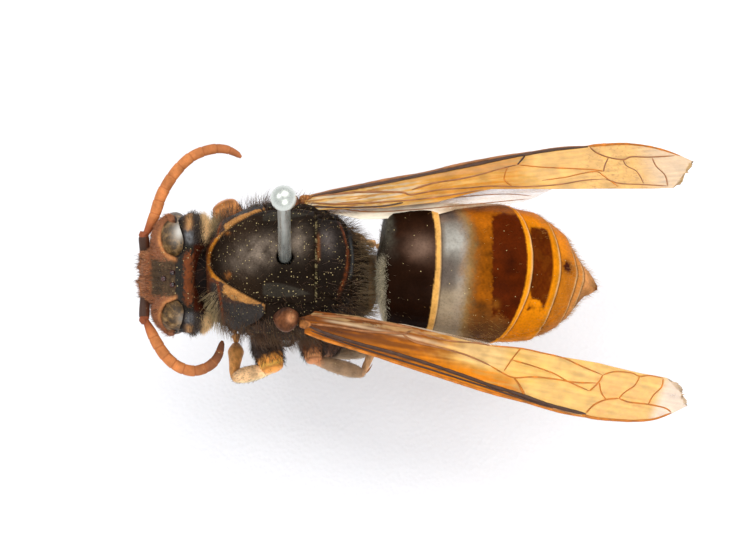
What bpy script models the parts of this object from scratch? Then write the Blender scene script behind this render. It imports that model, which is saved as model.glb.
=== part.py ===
"""A pinned Asian hornet, at life size, on a museum pin over a plain base.

Metres, +Z up. The head points to -X, the insect's right side is +Y, and the origin lies under the middle of the
base. Run with: blender --background --python part.py
"""

import math

import bmesh
import bpy
from mathutils import Vector
from mathutils.geometry import delaunay_2d_cdt

MM = 0.001
GAP = 0.3 * MM

# The base and the pin
BASE_SIZE = (38 * MM, 34 * MM, 6 * MM)
BASE_CORNER = 2.0 * MM
BASE_EDGE = 0.4 * MM
PIN_RADIUS = 0.275 * MM
PIN_LENGTH = 25.5 * MM
PIN_POINT = 1.6 * MM
PIN_HEAD_RADIUS = 0.56 * MM
PIN_TIP_HEIGHT = 1.75 * MM
PIN_X = -5.59 * MM
PIN_Y = -0.3 * MM
PIN_HOLE_RADIUS = PIN_RADIUS + 0.15 * MM

# The insect's long axis above the base's underside
AXIS_HEIGHT = 15.0 * MM

# The head, turned about the long axis as the specimen dried
HEAD_PLACE = (-10.52 * MM, 0.0, -0.3 * MM)
HEAD_ROLL = math.radians(23)
HEAD_FRONT = 1.05 * MM
HEAD_BACK = 1.62 * MM
HEAD_HALF_WIDTH = 2.66 * MM
HEAD_TOP = 1.95 * MM
HEAD_BOTTOM = 2.25 * MM
EYE_PLACE = (0.12 * MM, 1.62 * MM, 0.16 * MM)
EYE_HALF = (0.74 * MM, 1.02 * MM, 1.78 * MM)
EYE_LEAN = math.radians(14)
SOCKET_SPREAD = 0.62 * MM
SCAPE_RADIUS = 0.22 * MM
FLAGELLUM_RADIUS = 0.245 * MM
FLAGELLUM_RINGS = 10

# Stations down the thorax, in mm: x, half width, top and bottom
THORAX = (
    (-9.30, 0.75, 0.70, -0.95),
    (-9.12, 1.05, 1.00, -1.20),
    (-8.75, 1.85, 1.85, -1.90),
    (-8.30, 2.25, 2.40, -2.25),
    (-7.70, 2.52, 2.80, -2.50),
    (-6.80, 2.78, 3.10, -2.70),
    (-5.60, 2.92, 3.25, -2.80),
    (-4.50, 2.82, 3.15, -2.75),
    (-3.60, 2.50, 2.80, -2.60),
    (-2.80, 2.00, 2.15, -2.35),
    (-2.20, 1.50, 1.20, -2.05),
    (-1.85, 1.10, 0.50, -1.75),
    (-1.62, 0.60, -0.10, -1.20),
)
THORAX_SIDES = 28
SCUTUM_APEX = -8.85 * MM
SCUTUM_CURVE = 0.52 / MM
SCUTUM_SHOULDER = -6.45 * MM
SCUTUM_SUTURE = -4.15 * MM
SCUTELLUM_BACK = -2.90 * MM
SCUTELLUM_HALF_WIDTH = 1.75 * MM
SCUTELLUM_FLOOR = 1.0 * MM
TEGULA_PLACE = (-5.58 * MM, 2.68 * MM, 1.45 * MM)
TEGULA_HALF = (0.52 * MM, 0.55 * MM, 0.34 * MM)

# Stations down the abdomen, in mm: x, half width, centre height, half height and lean to one side
ABDOMEN = (
    (-1.70, 1.70, 0.25, 1.55, 0.02),
    (-1.30, 2.40, 0.25, 2.16, 0.07),
    (-0.90, 2.72, 0.22, 2.44, 0.12),
    (0.20, 2.90, 0.15, 2.60, 0.12),
    (1.20, 2.98, 0.05, 2.68, 0.08),
    (2.50, 3.04, -0.12, 2.72, 0.02),
    (3.80, 3.05, -0.30, 2.68, 0.0),
    (5.20, 2.80, -0.55, 2.42, 0.0),
    (6.00, 2.36, -0.70, 2.06, 0.0),
    (6.60, 1.84, -0.85, 1.66, 0.0),
    (7.00, 1.24, -1.03, 1.22, -0.02),
    (7.36, 0.74, -1.24, 0.82, -0.06),
    (7.65, 0.48, -1.42, 0.54, -0.12),
    (8.00, 0.14, -1.70, 0.16, -0.20),
)
# Each segment's rear margin at the midline and how far it bows forward down the sides, in mm
SEGMENT_MARGINS = ((-1.30, 0.0), (1.17, 0.45), (5.15, 1.5), (6.35, 1.1), (7.11, 0.6), (8.00, 0.0))
SEGMENT_RINGS = (5, 6, 4, 3, 5)
SEGMENT_SIDES = 28
SEGMENT_STEP = 0.035

# The wings in their own plane: mm from the root to the tip, and mm from the leading side to the inner fold
WING_ROOT = (-4.75 * MM, 2.78 * MM, 1.6 * MM)
WING_SPREAD = {"left": math.radians(12.3), "right": math.radians(6.2)}
WING_DROOP = math.radians(2)
WING_ROOF = math.radians(27)
WING_ARCH = 0.5 * MM
WING_LENGTH = 16.8 * MM
WING_THICKNESS = 0.5 * MM
WING_TIP_THICKNESS = 0.24 * MM
VEIN_THICKNESS = 0.72 * MM
VEIN_HALF_WIDTH = 0.14 * MM
HINDWING_DROP = 0.8 * MM
FOREWING_OUTLINE = (
    (0.0, -0.32), (1.6, -0.48), (4.8, -1.08), (8.9, -1.42), (11.8, -1.57), (14.2, -1.28), (15.7, -0.80),
    (16.8, 0.0), (16.3, 0.93), (13.4, 0.94), (9.3, 0.78), (6.5, 0.62), (3.6, 0.68), (1.4, 0.28), (0.0, 0.10),
)
HINDWING_OUTLINE = (
    (1.3, -0.35), (3.0, -0.45), (6.0, -0.66), (8.5, -0.70), (10.3, -0.45), (10.9, 0.15),
    (10.2, 0.76), (8.6, 0.80), (6.5, 0.62), (4.4, 0.50), (2.8, 0.30), (1.3, -0.02),
)
FOREWING_VEINS = (
    ((0.4, -0.20), (3.6, -0.56), (7.2, -0.96), (9.8, -1.18), (12.5, -1.38)),
    ((0.6, -0.05), (4.5, -0.16), (8.8, -0.42), (11.4, -0.18), (12.96, 0.04)),
    ((9.2, -0.42), (9.8, -1.12)),
    ((12.6, -1.30), (12.95, -0.86), (13.9, -0.38), (15.2, -0.31), (16.1, -0.45)),
    ((8.8, -0.42), (9.05, 0.20), (9.25, 0.70)),
    ((9.05, 0.20), (10.3, 0.16), (11.8, -0.22), (13.0, -0.58)),
    ((12.96, 0.04), (13.1, 0.45), (14.6, 0.74)),
    ((13.9, -0.38), (14.3, 0.25), (14.6, 0.74)),
)
HINDWING_VEINS = (
    ((1.6, -0.25), (5.0, -0.45), (8.6, -0.50), (10.3, -0.20)),
    ((2.4, -0.05), (6.0, 0.20), (9.4, 0.40)),
)

# Each leg's joints, in mm from the axis: hip, end of the hip joint, knee, ankle, mid tarsus and claws
LEGS = {
    "foreleg_left": ((-7.3, -0.8, -2.2), (-6.8, -1.2, -3.2), (-6.15, -3.5, -3.0), (-7.88, -3.62, -4.0),
                     (-7.78, -1.7, -4.2), (-8.2, -0.7, -4.5)),
    "midleg_left": ((-4.9, -0.8, -2.2), (-4.7, -1.2, -3.4), (-4.35, -3.12, -3.0), (-2.2, -3.46, -3.9),
                    (-1.65, -1.9, -4.2), (-0.9, -0.6, -4.5)),
    "hindleg_left": ((-3.0, -0.8, -1.9), (-2.85, -1.2, -3.2), (-3.9, -2.35, -4.7), (-1.83, -1.95, -5.4),
                     (0.5, -1.5, -5.5), (2.0, -1.2, -5.3)),
    "foreleg_right": ((-7.3, 0.8, -2.2), (-7.1, 1.2, -3.3), (-8.3, 3.85, -2.6), (-8.6, 2.7, -4.6),
                      (-8.4, 1.2, -5.2), (-8.2, 0.2, -5.6)),
    "midleg_right": ((-4.9, 0.8, -2.2), (-4.7, 1.2, -3.4), (-5.1, 3.05, -3.8), (-3.5, 3.6, -5.5),
                     (-2.0, 3.3, -6.3), (-0.8, 2.9, -6.7)),
    "hindleg_right": ((-3.0, 0.8, -1.9), (-2.85, 1.2, -3.2), (-3.5, 2.2, -4.7), (-1.1, 1.9, -5.2),
                      (1.2, 1.6, -5.2), (2.8, 1.2, -5.0)),
}
COXA_RADII = (0.62, 0.45)
FEMUR_RADII = (0.30, 0.46, 0.44, 0.30)
TIBIA_RADII = (0.27, 0.36, 0.36, 0.25)
TARSUS_RADIUS = 0.25
CLAW_LENGTH = 0.45

COLOURS = {
    "head": (0.035, 0.022, 0.015), "eye": (0.06, 0.042, 0.03), "mandible": (0.42, 0.16, 0.04),
    "antenna": (0.50, 0.17, 0.055), "thorax": (0.018, 0.013, 0.010), "pronotum": (0.30, 0.14, 0.05),
    "tegula": (0.22, 0.09, 0.045), "gaster_dark": (0.03, 0.012, 0.006), "gaster_amber": (0.55, 0.23, 0.045),
    "leg": (0.34, 0.17, 0.08), "wing": (0.58, 0.29, 0.09), "pin": (0.42, 0.45, 0.42), "base": (0.86, 0.86, 0.87),
}


def clear_scene():
    for thing in list(bpy.data.objects):
        bpy.data.objects.remove(thing, do_unlink=True)


def collection(name):
    made = bpy.data.collections.new(name)
    bpy.context.scene.collection.children.link(made)
    return made


def paint(thing, name, colour, roughness=0.4, metallic=0.0):
    """Gives an object its own Principled material."""
    material = bpy.data.materials.new(name)
    material.use_nodes = True
    shader = material.node_tree.nodes["Principled BSDF"]
    shader.inputs["Base Color"].default_value = (*colour, 1.0)
    shader.inputs["Roughness"].default_value = roughness
    shader.inputs["Metallic"].default_value = metallic
    thing.data.materials.clear()
    thing.data.materials.append(material)


def as_object(name, shape, home, parent=None):
    """Turns a bmesh into a named object with outward faces, smooth where its faces run on."""
    bmesh.ops.recalc_face_normals(shape, faces=shape.faces)
    mesh = bpy.data.meshes.new(name)
    shape.to_mesh(mesh)
    shape.free()
    mesh.shade_smooth()
    mesh.set_sharp_from_angle(angle=math.radians(40))
    thing = bpy.data.objects.new(name, mesh)
    home.objects.link(thing)
    thing.parent = parent
    return thing


def hide_cutter(thing):
    thing.hide_render = True
    thing.display_type = "WIRE"
    return thing


def cut(thing, tool, operation="DIFFERENCE"):
    step = thing.modifiers.new(tool.name, "BOOLEAN")
    step.operation = operation
    step.object = tool


def largest_body(mesh):
    """Keeps the largest closed surface of a mesh and drops the rest."""
    shape = bmesh.new()
    shape.from_mesh(mesh)
    bmesh.ops.remove_doubles(shape, verts=shape.verts, dist=0.0005 * MM)
    unseen = set(shape.faces)
    bodies = []
    while unseen:
        reach = [unseen.pop()]
        body = []
        while reach:
            face = reach.pop()
            body.append(face)
            for edge in face.edges:
                for other in edge.link_faces:
                    if other in unseen:
                        unseen.remove(other)
                        reach.append(other)
        bodies.append(body)
    bodies.sort(key=lambda body: sum(face.calc_area() for face in body))
    dropped = [face for body in bodies[:-1] for face in body]
    bmesh.ops.delete(shape, geom=dropped, context="FACES")
    shape.to_mesh(mesh)
    shape.free()


def settle(thing):
    """Applies an object's modifiers and keeps its largest closed surface."""
    bpy.context.view_layer.update()
    graph = bpy.context.evaluated_depsgraph_get()
    mesh = bpy.data.meshes.new_from_object(thing.evaluated_get(graph))
    thing.modifiers.clear()
    thing.data = mesh
    largest_body(mesh)
    mesh.shade_smooth()
    mesh.set_sharp_from_angle(angle=math.radians(40))
    return thing


def fuse(name, pieces, home, parent=None):
    """Joins closed objects into one by a single union on their collection, and removes them."""
    group = collection(name + "_pieces")
    for piece in pieces[1:]:
        for owner in piece.users_collection:
            owner.objects.unlink(piece)
        group.objects.link(piece)
    whole = pieces[0]
    whole.name = name
    step = whole.modifiers.new("union", "BOOLEAN")
    step.operation = "UNION"
    step.operand_type = "COLLECTION"
    step.collection = group
    settle(whole)
    for piece in pieces[1:]:
        bpy.data.objects.remove(piece, do_unlink=True)
    bpy.data.collections.remove(group)
    return whole


def smooth_value(stations, x):
    """Reads a row of stations at x along a Catmull-Rom curve, and returns what follows x in each."""
    last = len(stations) - 2
    index = max(0, min(last, sum(1 for s in stations[1:-1] if s[0] <= x)))
    before = stations[max(index - 1, 0)]
    start = stations[index]
    end = stations[index + 1]
    after = stations[min(index + 2, len(stations) - 1)]
    t = max(0.0, min(1.0, (x - start[0]) / (end[0] - start[0])))
    values = []
    for a, b, c, d in zip(before[1:], start[1:], end[1:], after[1:]):
        values.append(0.5 * (2 * b + (c - a) * t + (2 * a - 5 * b + 4 * c - d) * t * t
                             + (3 * b - a - 3 * c + d) * t ** 3))
    return values


def smooth_path(points, steps):
    """Points along a Catmull-Rom curve through the given points."""
    path = []
    for index in range(len(points) - 1):
        a = Vector(points[max(index - 1, 0)])
        b = Vector(points[index])
        c = Vector(points[index + 1])
        d = Vector(points[min(index + 2, len(points) - 1)])
        for step in range(steps):
            t = step / steps
            path.append(0.5 * (2 * b + (c - a) * t + (2 * a - 5 * b + 4 * c - d) * t * t
                               + (3 * b - a - 3 * c + d) * t ** 3))
    path.append(Vector(points[-1]))
    return path


def loft(rings):
    """A closed skin over rings of points, with a fan to each end's middle."""
    shape = bmesh.new()
    rows = [[shape.verts.new(point) for point in ring] for ring in rings]
    count = len(rows[0])
    for row, following in zip(rows, rows[1:]):
        for i in range(count):
            j = (i + 1) % count
            shape.faces.new((row[i], row[j], following[j], following[i]))
    for row in (rows[0], rows[-1]):
        middle = sum((vert.co for vert in row), Vector()) / count
        hub = shape.verts.new(middle)
        for i in range(count):
            shape.faces.new((row[i], row[(i + 1) % count], hub))
    return shape


def tube(name, points, radii, home, parent=None, resolution=2):
    """A round limb along points, its radius given at each, made from a bevelled curve as a closed mesh."""
    curve = bpy.data.curves.new(name, "CURVE")
    curve.dimensions = "3D"
    curve.bevel_depth = 1.0
    curve.bevel_resolution = resolution
    curve.use_fill_caps = True
    curve.twist_mode = "MINIMUM"
    line = curve.splines.new("POLY")
    line.points.add(len(points) - 1)
    for spot, point, radius in zip(line.points, points, radii):
        spot.co = (*point, 1.0)
        spot.radius = radius
    guide = bpy.data.objects.new(name + "_guide", curve)
    home.objects.link(guide)
    bpy.context.view_layer.update()
    graph = bpy.context.evaluated_depsgraph_get()
    mesh = bpy.data.meshes.new_from_object(guide.evaluated_get(graph))
    bpy.data.objects.remove(guide, do_unlink=True)
    shape = bmesh.new()
    shape.from_mesh(mesh)
    bmesh.ops.remove_doubles(shape, verts=shape.verts, dist=0.001 * MM)
    return as_object(name, shape, home, parent)


def ball(name, place, half, home, parent=None, segments=16, rings=10, lean=0.0):
    """An ellipsoid from a sphere, its size and lean about X worked into the mesh."""
    shape = bmesh.new()
    bmesh.ops.create_uvsphere(shape, u_segments=segments, v_segments=rings, radius=1.0)
    for vert in shape.verts:
        x, y, z = (part * size for part, size in zip(vert.co, half))
        vert.co = (x, y * math.cos(lean) - z * math.sin(lean), y * math.sin(lean) + z * math.cos(lean))
    thing = as_object(name, shape, home, parent)
    thing.location = place
    return thing


def prism(name, outline, low, high, home, parent=None):
    """A flat outline stood up between two heights."""
    shape = bmesh.new()
    face = shape.faces.new([shape.verts.new((x, y, low)) for x, y in outline])
    raised = bmesh.ops.extrude_face_region(shape, geom=[face])
    for item in raised["geom"]:
        if isinstance(item, bmesh.types.BMVert):
            item.co.z = high
    return as_object(name, shape, home, parent)


def pin_hole(name, low, high, home, parent=None):
    shape = bmesh.new()
    bmesh.ops.create_cone(shape, cap_ends=True, segments=16, radius1=PIN_HOLE_RADIUS, radius2=PIN_HOLE_RADIUS,
                          depth=high - low)
    hole = as_object(name, shape, home, parent)
    hole.location = (PIN_X, PIN_Y, (low + high) / 2)
    return hide_cutter(hole)


def make_base(parts, cutters):
    """A plain flat block that the pin stands in."""
    width, depth, height = BASE_SIZE
    shape = bmesh.new()
    bmesh.ops.create_cube(shape, size=1.0)
    for vert in shape.verts:
        vert.co = (vert.co.x * width, vert.co.y * depth, (vert.co.z + 0.5) * height)
    upright = [edge for edge in shape.edges if abs(edge.verts[0].co.z - edge.verts[1].co.z) > height / 2]
    bmesh.ops.bevel(shape, geom=upright, offset=BASE_CORNER, segments=5, profile=0.5, affect="EDGES")
    rim = [edge for edge in shape.edges if min(vert.co.z for vert in edge.verts) > height * 0.9]
    bmesh.ops.bevel(shape, geom=rim, offset=BASE_EDGE, segments=2, profile=0.5, affect="EDGES")
    base = as_object("stand_base", shape, parts)
    cut(base, pin_hole("base_hole", PIN_TIP_HEIGHT - GAP, height + GAP, cutters))
    settle(base)
    paint(base, "base white", COLOURS["base"], roughness=0.6)


def make_pin(parts):
    """A steel insect pin with a round head, turned about its own length."""
    ball_middle = PIN_TIP_HEIGHT + PIN_LENGTH - PIN_HEAD_RADIUS
    neck = math.asin(PIN_RADIUS / PIN_HEAD_RADIUS)
    profile = []
    for step in range(9):
        angle = (math.pi - neck) * step / 8
        profile.append((PIN_HEAD_RADIUS * math.sin(angle), ball_middle + PIN_HEAD_RADIUS * math.cos(angle)))
    profile.append((PIN_RADIUS, PIN_TIP_HEIGHT + PIN_POINT))
    profile.append((0.0, PIN_TIP_HEIGHT))
    mesh = bpy.data.meshes.new("pin")
    edges = [(i, i + 1) for i in range(len(profile) - 1)]
    mesh.from_pydata([(radius, 0.0, height) for radius, height in profile], edges, [])
    pin = bpy.data.objects.new("pin", mesh)
    parts.objects.link(pin)
    turn = pin.modifiers.new("turn", "SCREW")
    turn.steps = 16
    turn.render_steps = 16
    turn.use_merge_vertices = True
    turn.merge_threshold = 0.00001
    settle(pin)
    pin.location = (PIN_X, PIN_Y, 0.0)
    paint(pin, "pin steel", COLOURS["pin"], roughness=0.25, metallic=1.0)


def head_shape(grow=0.0):
    """The head without its eyes: rounded in front, square at the temples, hollow behind and narrow at the mouth."""
    shape = bmesh.new()
    bmesh.ops.create_uvsphere(shape, u_segments=28, v_segments=18, radius=1.0)
    for vert in shape.verts:
        x, y, z = vert.co
        squareness = 2.0 + 1.1 * max(0.0, min(1.0, x * 1.5 + 0.3))
        reach = (abs(x) ** squareness + abs(y) ** squareness + abs(z) ** squareness) ** (-1 / squareness)
        x, y, z = x * reach, y * reach, z * reach
        hollow = max(0.0, x) ** 2 * math.exp(-(y / 0.46) ** 2) * 0.52 * MM
        frons = max(0.0, -x) * math.exp(-(y / 0.3) ** 4 - ((z - 0.1) / 0.45) ** 2) * 0.2 * MM
        narrow = 1.0 - 0.34 * max(0.0, -z) ** 1.6
        slim = 1.0 - 0.22 * max(0.0, -z)
        length = HEAD_BACK * slim if x > 0 else HEAD_FRONT
        height = HEAD_TOP if z > 0 else HEAD_BOTTOM
        vert.co = (
            x * (length + grow) - hollow - frons,
            y * (HEAD_HALF_WIDTH * narrow + grow),
            z * (height + grow),
        )
    return shape


def make_head(parts, cutters, body):
    """Head capsule with clypeus and ocelli, compound eyes in their sockets, and jaws below."""
    pose = bpy.data.objects.new("head_pose", None)
    parts.objects.link(pose)
    pose.parent = body
    pose.location = HEAD_PLACE
    pose.rotation_euler = (HEAD_ROLL, 0.0, 0.0)

    capsule = as_object("head", head_shape(), parts, pose)
    clypeus = ball("clypeus", (-0.62 * MM, 0.0, -1.3 * MM), (0.5 * MM, 0.95 * MM, 0.88 * MM), parts, pose)
    pieces = [capsule, clypeus]
    for number, (x, y) in enumerate(((-0.33, 0.0), (0.04, 0.26), (0.04, -0.26))):
        ocellus_height = HEAD_TOP - (0.13 if number == 0 else 0.07) * MM
        radius = 0.14 * MM
        pieces.append(ball(f"ocellus_{number}", (x * MM, y * MM, ocellus_height), (radius, radius, radius),
                           parts, pose, segments=8, rings=6))
    head = fuse("head", pieces, parts, pose)
    paint(head, "head shell", COLOURS["head"], roughness=0.5)

    clearance = hide_cutter(as_object("head_clearance", head_shape(GAP), cutters, pose))
    for side, sign in (("right", 1), ("left", -1)):
        place = (EYE_PLACE[0], sign * EYE_PLACE[1], EYE_PLACE[2])
        socket_half = tuple(size + GAP for size in EYE_HALF)
        socket = ball(f"socket_{side}", place, socket_half, cutters, pose, segments=20, rings=14,
                      lean=sign * EYE_LEAN)
        cut(head, hide_cutter(socket))
        eye = ball(f"eye_{side}", place, EYE_HALF, parts, pose, segments=22, rings=16, lean=sign * EYE_LEAN)
        paint(eye, f"eye {side}", COLOURS["eye"], roughness=0.15)

        root = Vector((-0.3, sign * 1.05, -1.85))
        bend = Vector((-0.72, sign * 0.95, -2.75))
        tip = Vector((-0.95, sign * 0.28, -3.1))
        path = [point * MM for point in smooth_path((root, bend, tip), 4)]
        radii = [(0.42 - 0.026 * step) * MM for step in range(len(path))]
        jaw = tube(f"mandible_{side}", path, radii, parts, pose)
        cut(jaw, clearance)
        settle(jaw)
        paint(jaw, f"mandible {side}", COLOURS["mandible"], roughness=0.35)
    settle(head)


def make_antenna(side, socket, pedicel, sweep, parts, body):
    """A scape out of the face, then ten flagellum segments that swell a little toward each joint."""
    socket = Vector(socket) * MM
    pedicel = Vector(pedicel) * MM
    path = [socket, socket.lerp(pedicel, 0.3), socket.lerp(pedicel, 0.88), pedicel]
    radii = [SCAPE_RADIUS * 0.8, SCAPE_RADIUS, SCAPE_RADIUS, SCAPE_RADIUS * 0.85]
    line = [point * MM for point in smooth_path([Vector(pedicel) / MM] + [Vector(p) for p in sweep], 12)]
    last = len(line) - 1
    for ring in range(FLAGELLUM_RINGS):
        start = (ring + 0.1) / FLAGELLUM_RINGS
        end = (ring + 0.93) / FLAGELLUM_RINGS
        for share, swell in ((start, 0.9), (end, 1.0)):
            index = share * last
            low = int(index)
            path.append(line[low].lerp(line[min(low + 1, last)], index - low))
            taper = 1.0 - 0.45 * max(0.0, share - 0.72) / 0.28
            radii.append(FLAGELLUM_RADIUS * swell * taper)
    path.append(line[last])
    radii.append(FLAGELLUM_RADIUS * 0.32)
    antenna = tube(f"antenna_{side}", path, radii, parts, body)
    paint(antenna, f"antenna {side}", COLOURS["antenna"], roughness=0.4)


def make_antennae(parts, body):
    front = (HEAD_PLACE[0] - HEAD_FRONT) / MM - 0.38
    for side, sign in (("right", 1), ("left", -1)):
        y = sign * SOCKET_SPREAD / MM
        z = 0.2
        socket = (front, y * math.cos(HEAD_ROLL) - z * math.sin(HEAD_ROLL),
                  y * math.sin(HEAD_ROLL) + z * math.cos(HEAD_ROLL) + HEAD_PLACE[2] / MM)
        if side == "right":
            pedicel = (-11.85, 1.51, 0.40)
            sweep = ((-11.07, 3.25, 0.80), (-10.00, 4.66, 1.10), (-8.78, 5.25, 1.10), (-7.54, 4.98, 0.80))
        else:
            pedicel = (-11.85, -1.94, -0.50)
            sweep = ((-11.13, -3.10, -0.70), (-10.13, -4.07, -0.95), (-8.91, -3.97, -1.00), (-8.35, -2.91, -0.90))
        make_antenna(side, socket, pedicel, sweep, parts, body)


def thorax_shape(grow=0.0):
    """The whole thorax as one skin, before it is parted into its plates."""
    rings = []
    for index, (x, half_width, top, bottom) in enumerate(THORAX):
        middle = (top + bottom) / 2
        half_height = (top - bottom) / 2
        ring = []
        for side in range(THORAX_SIDES):
            angle = 2 * math.pi * side / THORAX_SIDES
            fullness = 0.92 if math.sin(angle) > 0 else 0.8
            across = math.copysign(abs(math.cos(angle)) ** fullness, math.cos(angle))
            up = math.copysign(abs(math.sin(angle)) ** fullness, math.sin(angle))
            ring.append(Vector((x * MM, across * (half_width * MM + grow),
                                middle * MM + up * (half_height * MM + grow))))
        rings.append(ring)
    return loft(rings)


def scutum_edge(offset):
    """The rounded front edge of the scutum seen from above, moved forward by an offset."""
    edge = []
    reach = math.sqrt((SCUTUM_SHOULDER - SCUTUM_APEX) / SCUTUM_CURVE)
    for step in range(17):
        y = reach * (step - 8) / 8
        slope = 2 * SCUTUM_CURVE * y
        length = math.hypot(1.0, slope)
        edge.append((SCUTUM_APEX + SCUTUM_CURVE * y * y - offset / length, y + offset * slope / length))
    return edge


def scutellum_outline(offset):
    """The scutellum seen from above: straight in front, bowed behind."""
    outline = []
    half = SCUTELLUM_HALF_WIDTH + offset
    for step in range(9):
        y = half * (step - 4) / 4
        outline.append((SCUTELLUM_BACK + offset - 0.2 / MM * y * y, y))
    outline.append((SCUTUM_SUTURE - offset, half))
    outline.append((SCUTUM_SUTURE - offset, -half))
    return outline


def make_thorax(parts, cutters, body):
    """Pronotum, mesothorax, scutellum and propodeum parted from one form, and the tegulae over the wing roots."""
    side = 4 * MM
    far = 6 * MM
    back = SCUTELLUM_BACK + 0.05 * MM
    edge = scutum_edge(0.0)
    middle_region = prism("middle_region", edge + [(SCUTUM_SHOULDER, side), (back, side), (back, -side),
                                                   (SCUTUM_SHOULDER, -side)], -far, far, cutters, body)
    front_edge = scutum_edge(GAP)
    shoulder = SCUTUM_SHOULDER - GAP
    behind_front = prism("behind_front", front_edge + [(shoulder, side), (0.0, side), (0.0, -side),
                                                       (shoulder, -side)], -far, far, cutters, body)
    seat = prism("scutellum_seat", scutellum_outline(GAP), SCUTELLUM_FLOOR - GAP, far, cutters, body)
    shield = prism("scutellum_region", scutellum_outline(0.0), SCUTELLUM_FLOOR, far, cutters, body)
    start = back + GAP
    rear_region = prism("rear_region", [(start, side), (0.0, side), (0.0, -side), (start, -side)],
                        -far, far, cutters, body)
    for tool in (middle_region, behind_front, seat, shield, rear_region):
        hide_cutter(tool)
    hole = pin_hole("thorax_hole", -far, far, cutters, body)

    pronotum = as_object("pronotum", thorax_shape(), parts, body)
    cut(pronotum, behind_front)
    mesothorax = as_object("mesothorax", thorax_shape(), parts, body)
    cut(mesothorax, middle_region, "INTERSECT")
    cut(mesothorax, seat)
    cut(mesothorax, hole)
    scutellum = as_object("scutellum", thorax_shape(), parts, body)
    cut(scutellum, shield, "INTERSECT")
    propodeum = as_object("propodeum", thorax_shape(), parts, body)
    cut(propodeum, rear_region, "INTERSECT")

    for hand, sign in (("right", 1), ("left", -1)):
        place = (TEGULA_PLACE[0], sign * TEGULA_PLACE[1], TEGULA_PLACE[2])
        grown = tuple(size + GAP for size in TEGULA_HALF)
        cut(mesothorax, hide_cutter(ball(f"tegula_seat_{hand}", place, grown, cutters, body, lean=-sign * 0.5)))
        tegula = ball(f"tegula_{hand}", place, TEGULA_HALF, parts, body, segments=14, rings=8, lean=-sign * 0.5)
        paint(tegula, f"tegula {hand}", COLOURS["tegula"], roughness=0.35)

    for plate, colour in ((pronotum, "pronotum"), (mesothorax, "thorax"), (scutellum, "thorax"),
                          (propodeum, "thorax")):
        settle(plate)
        paint(plate, plate.name + " shell", COLOURS[colour], roughness=0.5)


def make_abdomen(parts, body):
    """Five overlapping rings, each a little wider at its rear margin than the next one's front."""
    for number in range(len(SEGMENT_RINGS)):
        front, front_bow = SEGMENT_MARGINS[number]
        rear, rear_bow = SEGMENT_MARGINS[number + 1]
        if number:
            front += GAP / MM
        count = SEGMENT_RINGS[number]
        rings = []
        for step in range(count + 1):
            share = step / count
            # Close rings round the front face over into the side
            middle = front + (rear - front) * (share ** 1.4 if number == 0 else share)
            bow = front_bow + (rear_bow - front_bow) * share
            scale = 1.0 - (0.0 if number == 0 else SEGMENT_STEP * (1.0 - share))
            ring = []
            for side in range(SEGMENT_SIDES):
                angle = 2 * math.pi * side / SEGMENT_SIDES
                x = middle - bow * (1.0 - math.sin(angle))
                half_width, centre, half_height, lean = smooth_value(ABDOMEN, x)
                ring.append(Vector((x, lean + half_width * scale * math.cos(angle),
                                    centre + half_height * scale * math.sin(angle))) * MM)
            rings.append(ring)
        segment = as_object(f"gaster_{number + 1}", loft(rings), parts, body)
        colour = "gaster_dark" if number == 0 else "gaster_amber"
        paint(segment, f"abdomen ring {number + 1}", COLOURS[colour], roughness=0.35)


def limb_length(start, end, radii):
    """A limb's points and radii from end to end, evenly spaced."""
    last = len(radii) - 1
    return [start.lerp(end, step / last) for step in range(len(radii))], [radius * MM for radius in radii]


def make_legs(parts, cutters, body):
    """Six folded legs: hip, thigh, shin, five tarsus segments and two claws, each leg in one piece."""
    clearance = hide_cutter(as_object("thorax_clearance", thorax_shape(GAP), cutters, body))
    for name, joints in LEGS.items():
        hip, joint, knee, ankle, middle, claws = (Vector(point) * MM for point in joints)
        pieces = [tube(name + "_hip", *limb_length(hip, joint, COXA_RADII), parts, body)]
        pieces.append(tube(name + "_thigh", *limb_length(joint, knee, FEMUR_RADII), parts, body))
        pieces.append(tube(name + "_shin", *limb_length(knee, ankle, TIBIA_RADII), parts, body))
        foot = [point * MM for point in smooth_path([ankle / MM, middle / MM, claws / MM], 5)]
        radii = []
        for step in range(len(foot)):
            radii.append(TARSUS_RADIUS * (1.0 if step % 2 else 0.86) * MM)
        pieces.append(tube(name + "_foot", foot, radii, parts, body))
        onward = (claws - middle).normalized()
        across = onward.cross(Vector((0.0, 0.0, 1.0))).normalized()
        for sign in (-1, 1):
            start = claws - onward * 0.1 * MM
            out = claws + (onward * 0.7 + across * sign * 0.7) * CLAW_LENGTH * 0.6 * MM
            end = out + (onward * 0.5 - Vector((0.0, 0.0, 0.6))) * CLAW_LENGTH * 0.5 * MM
            pieces.append(tube(f"{name}_claw_{sign + 1}", [start, out, end],
                               [0.14 * MM, 0.11 * MM, 0.05 * MM], parts, body, resolution=1))
        leg = fuse(name, pieces, parts, body)
        cut(leg, clearance)
        settle(leg)
        paint(leg, name.replace("_", " "), COLOURS["leg"], roughness=0.45)


def inside(point, outline):
    """Whether a flat point lies within a closed outline."""
    x, y = point
    within = False
    for (ax, ay), (bx, by) in zip(outline, outline[1:] + outline[:1]):
        if (ay > y) != (by > y) and x < (bx - ax) * (y - ay) / (by - ay) + ax:
            within = not within
    return within


def distance_to_line(point, start, end):
    line = end - start
    share = max(0.0, min(1.0, (point - start).dot(line) / max(line.length_squared, 1e-12)))
    return (point - start - line * share).length


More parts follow.
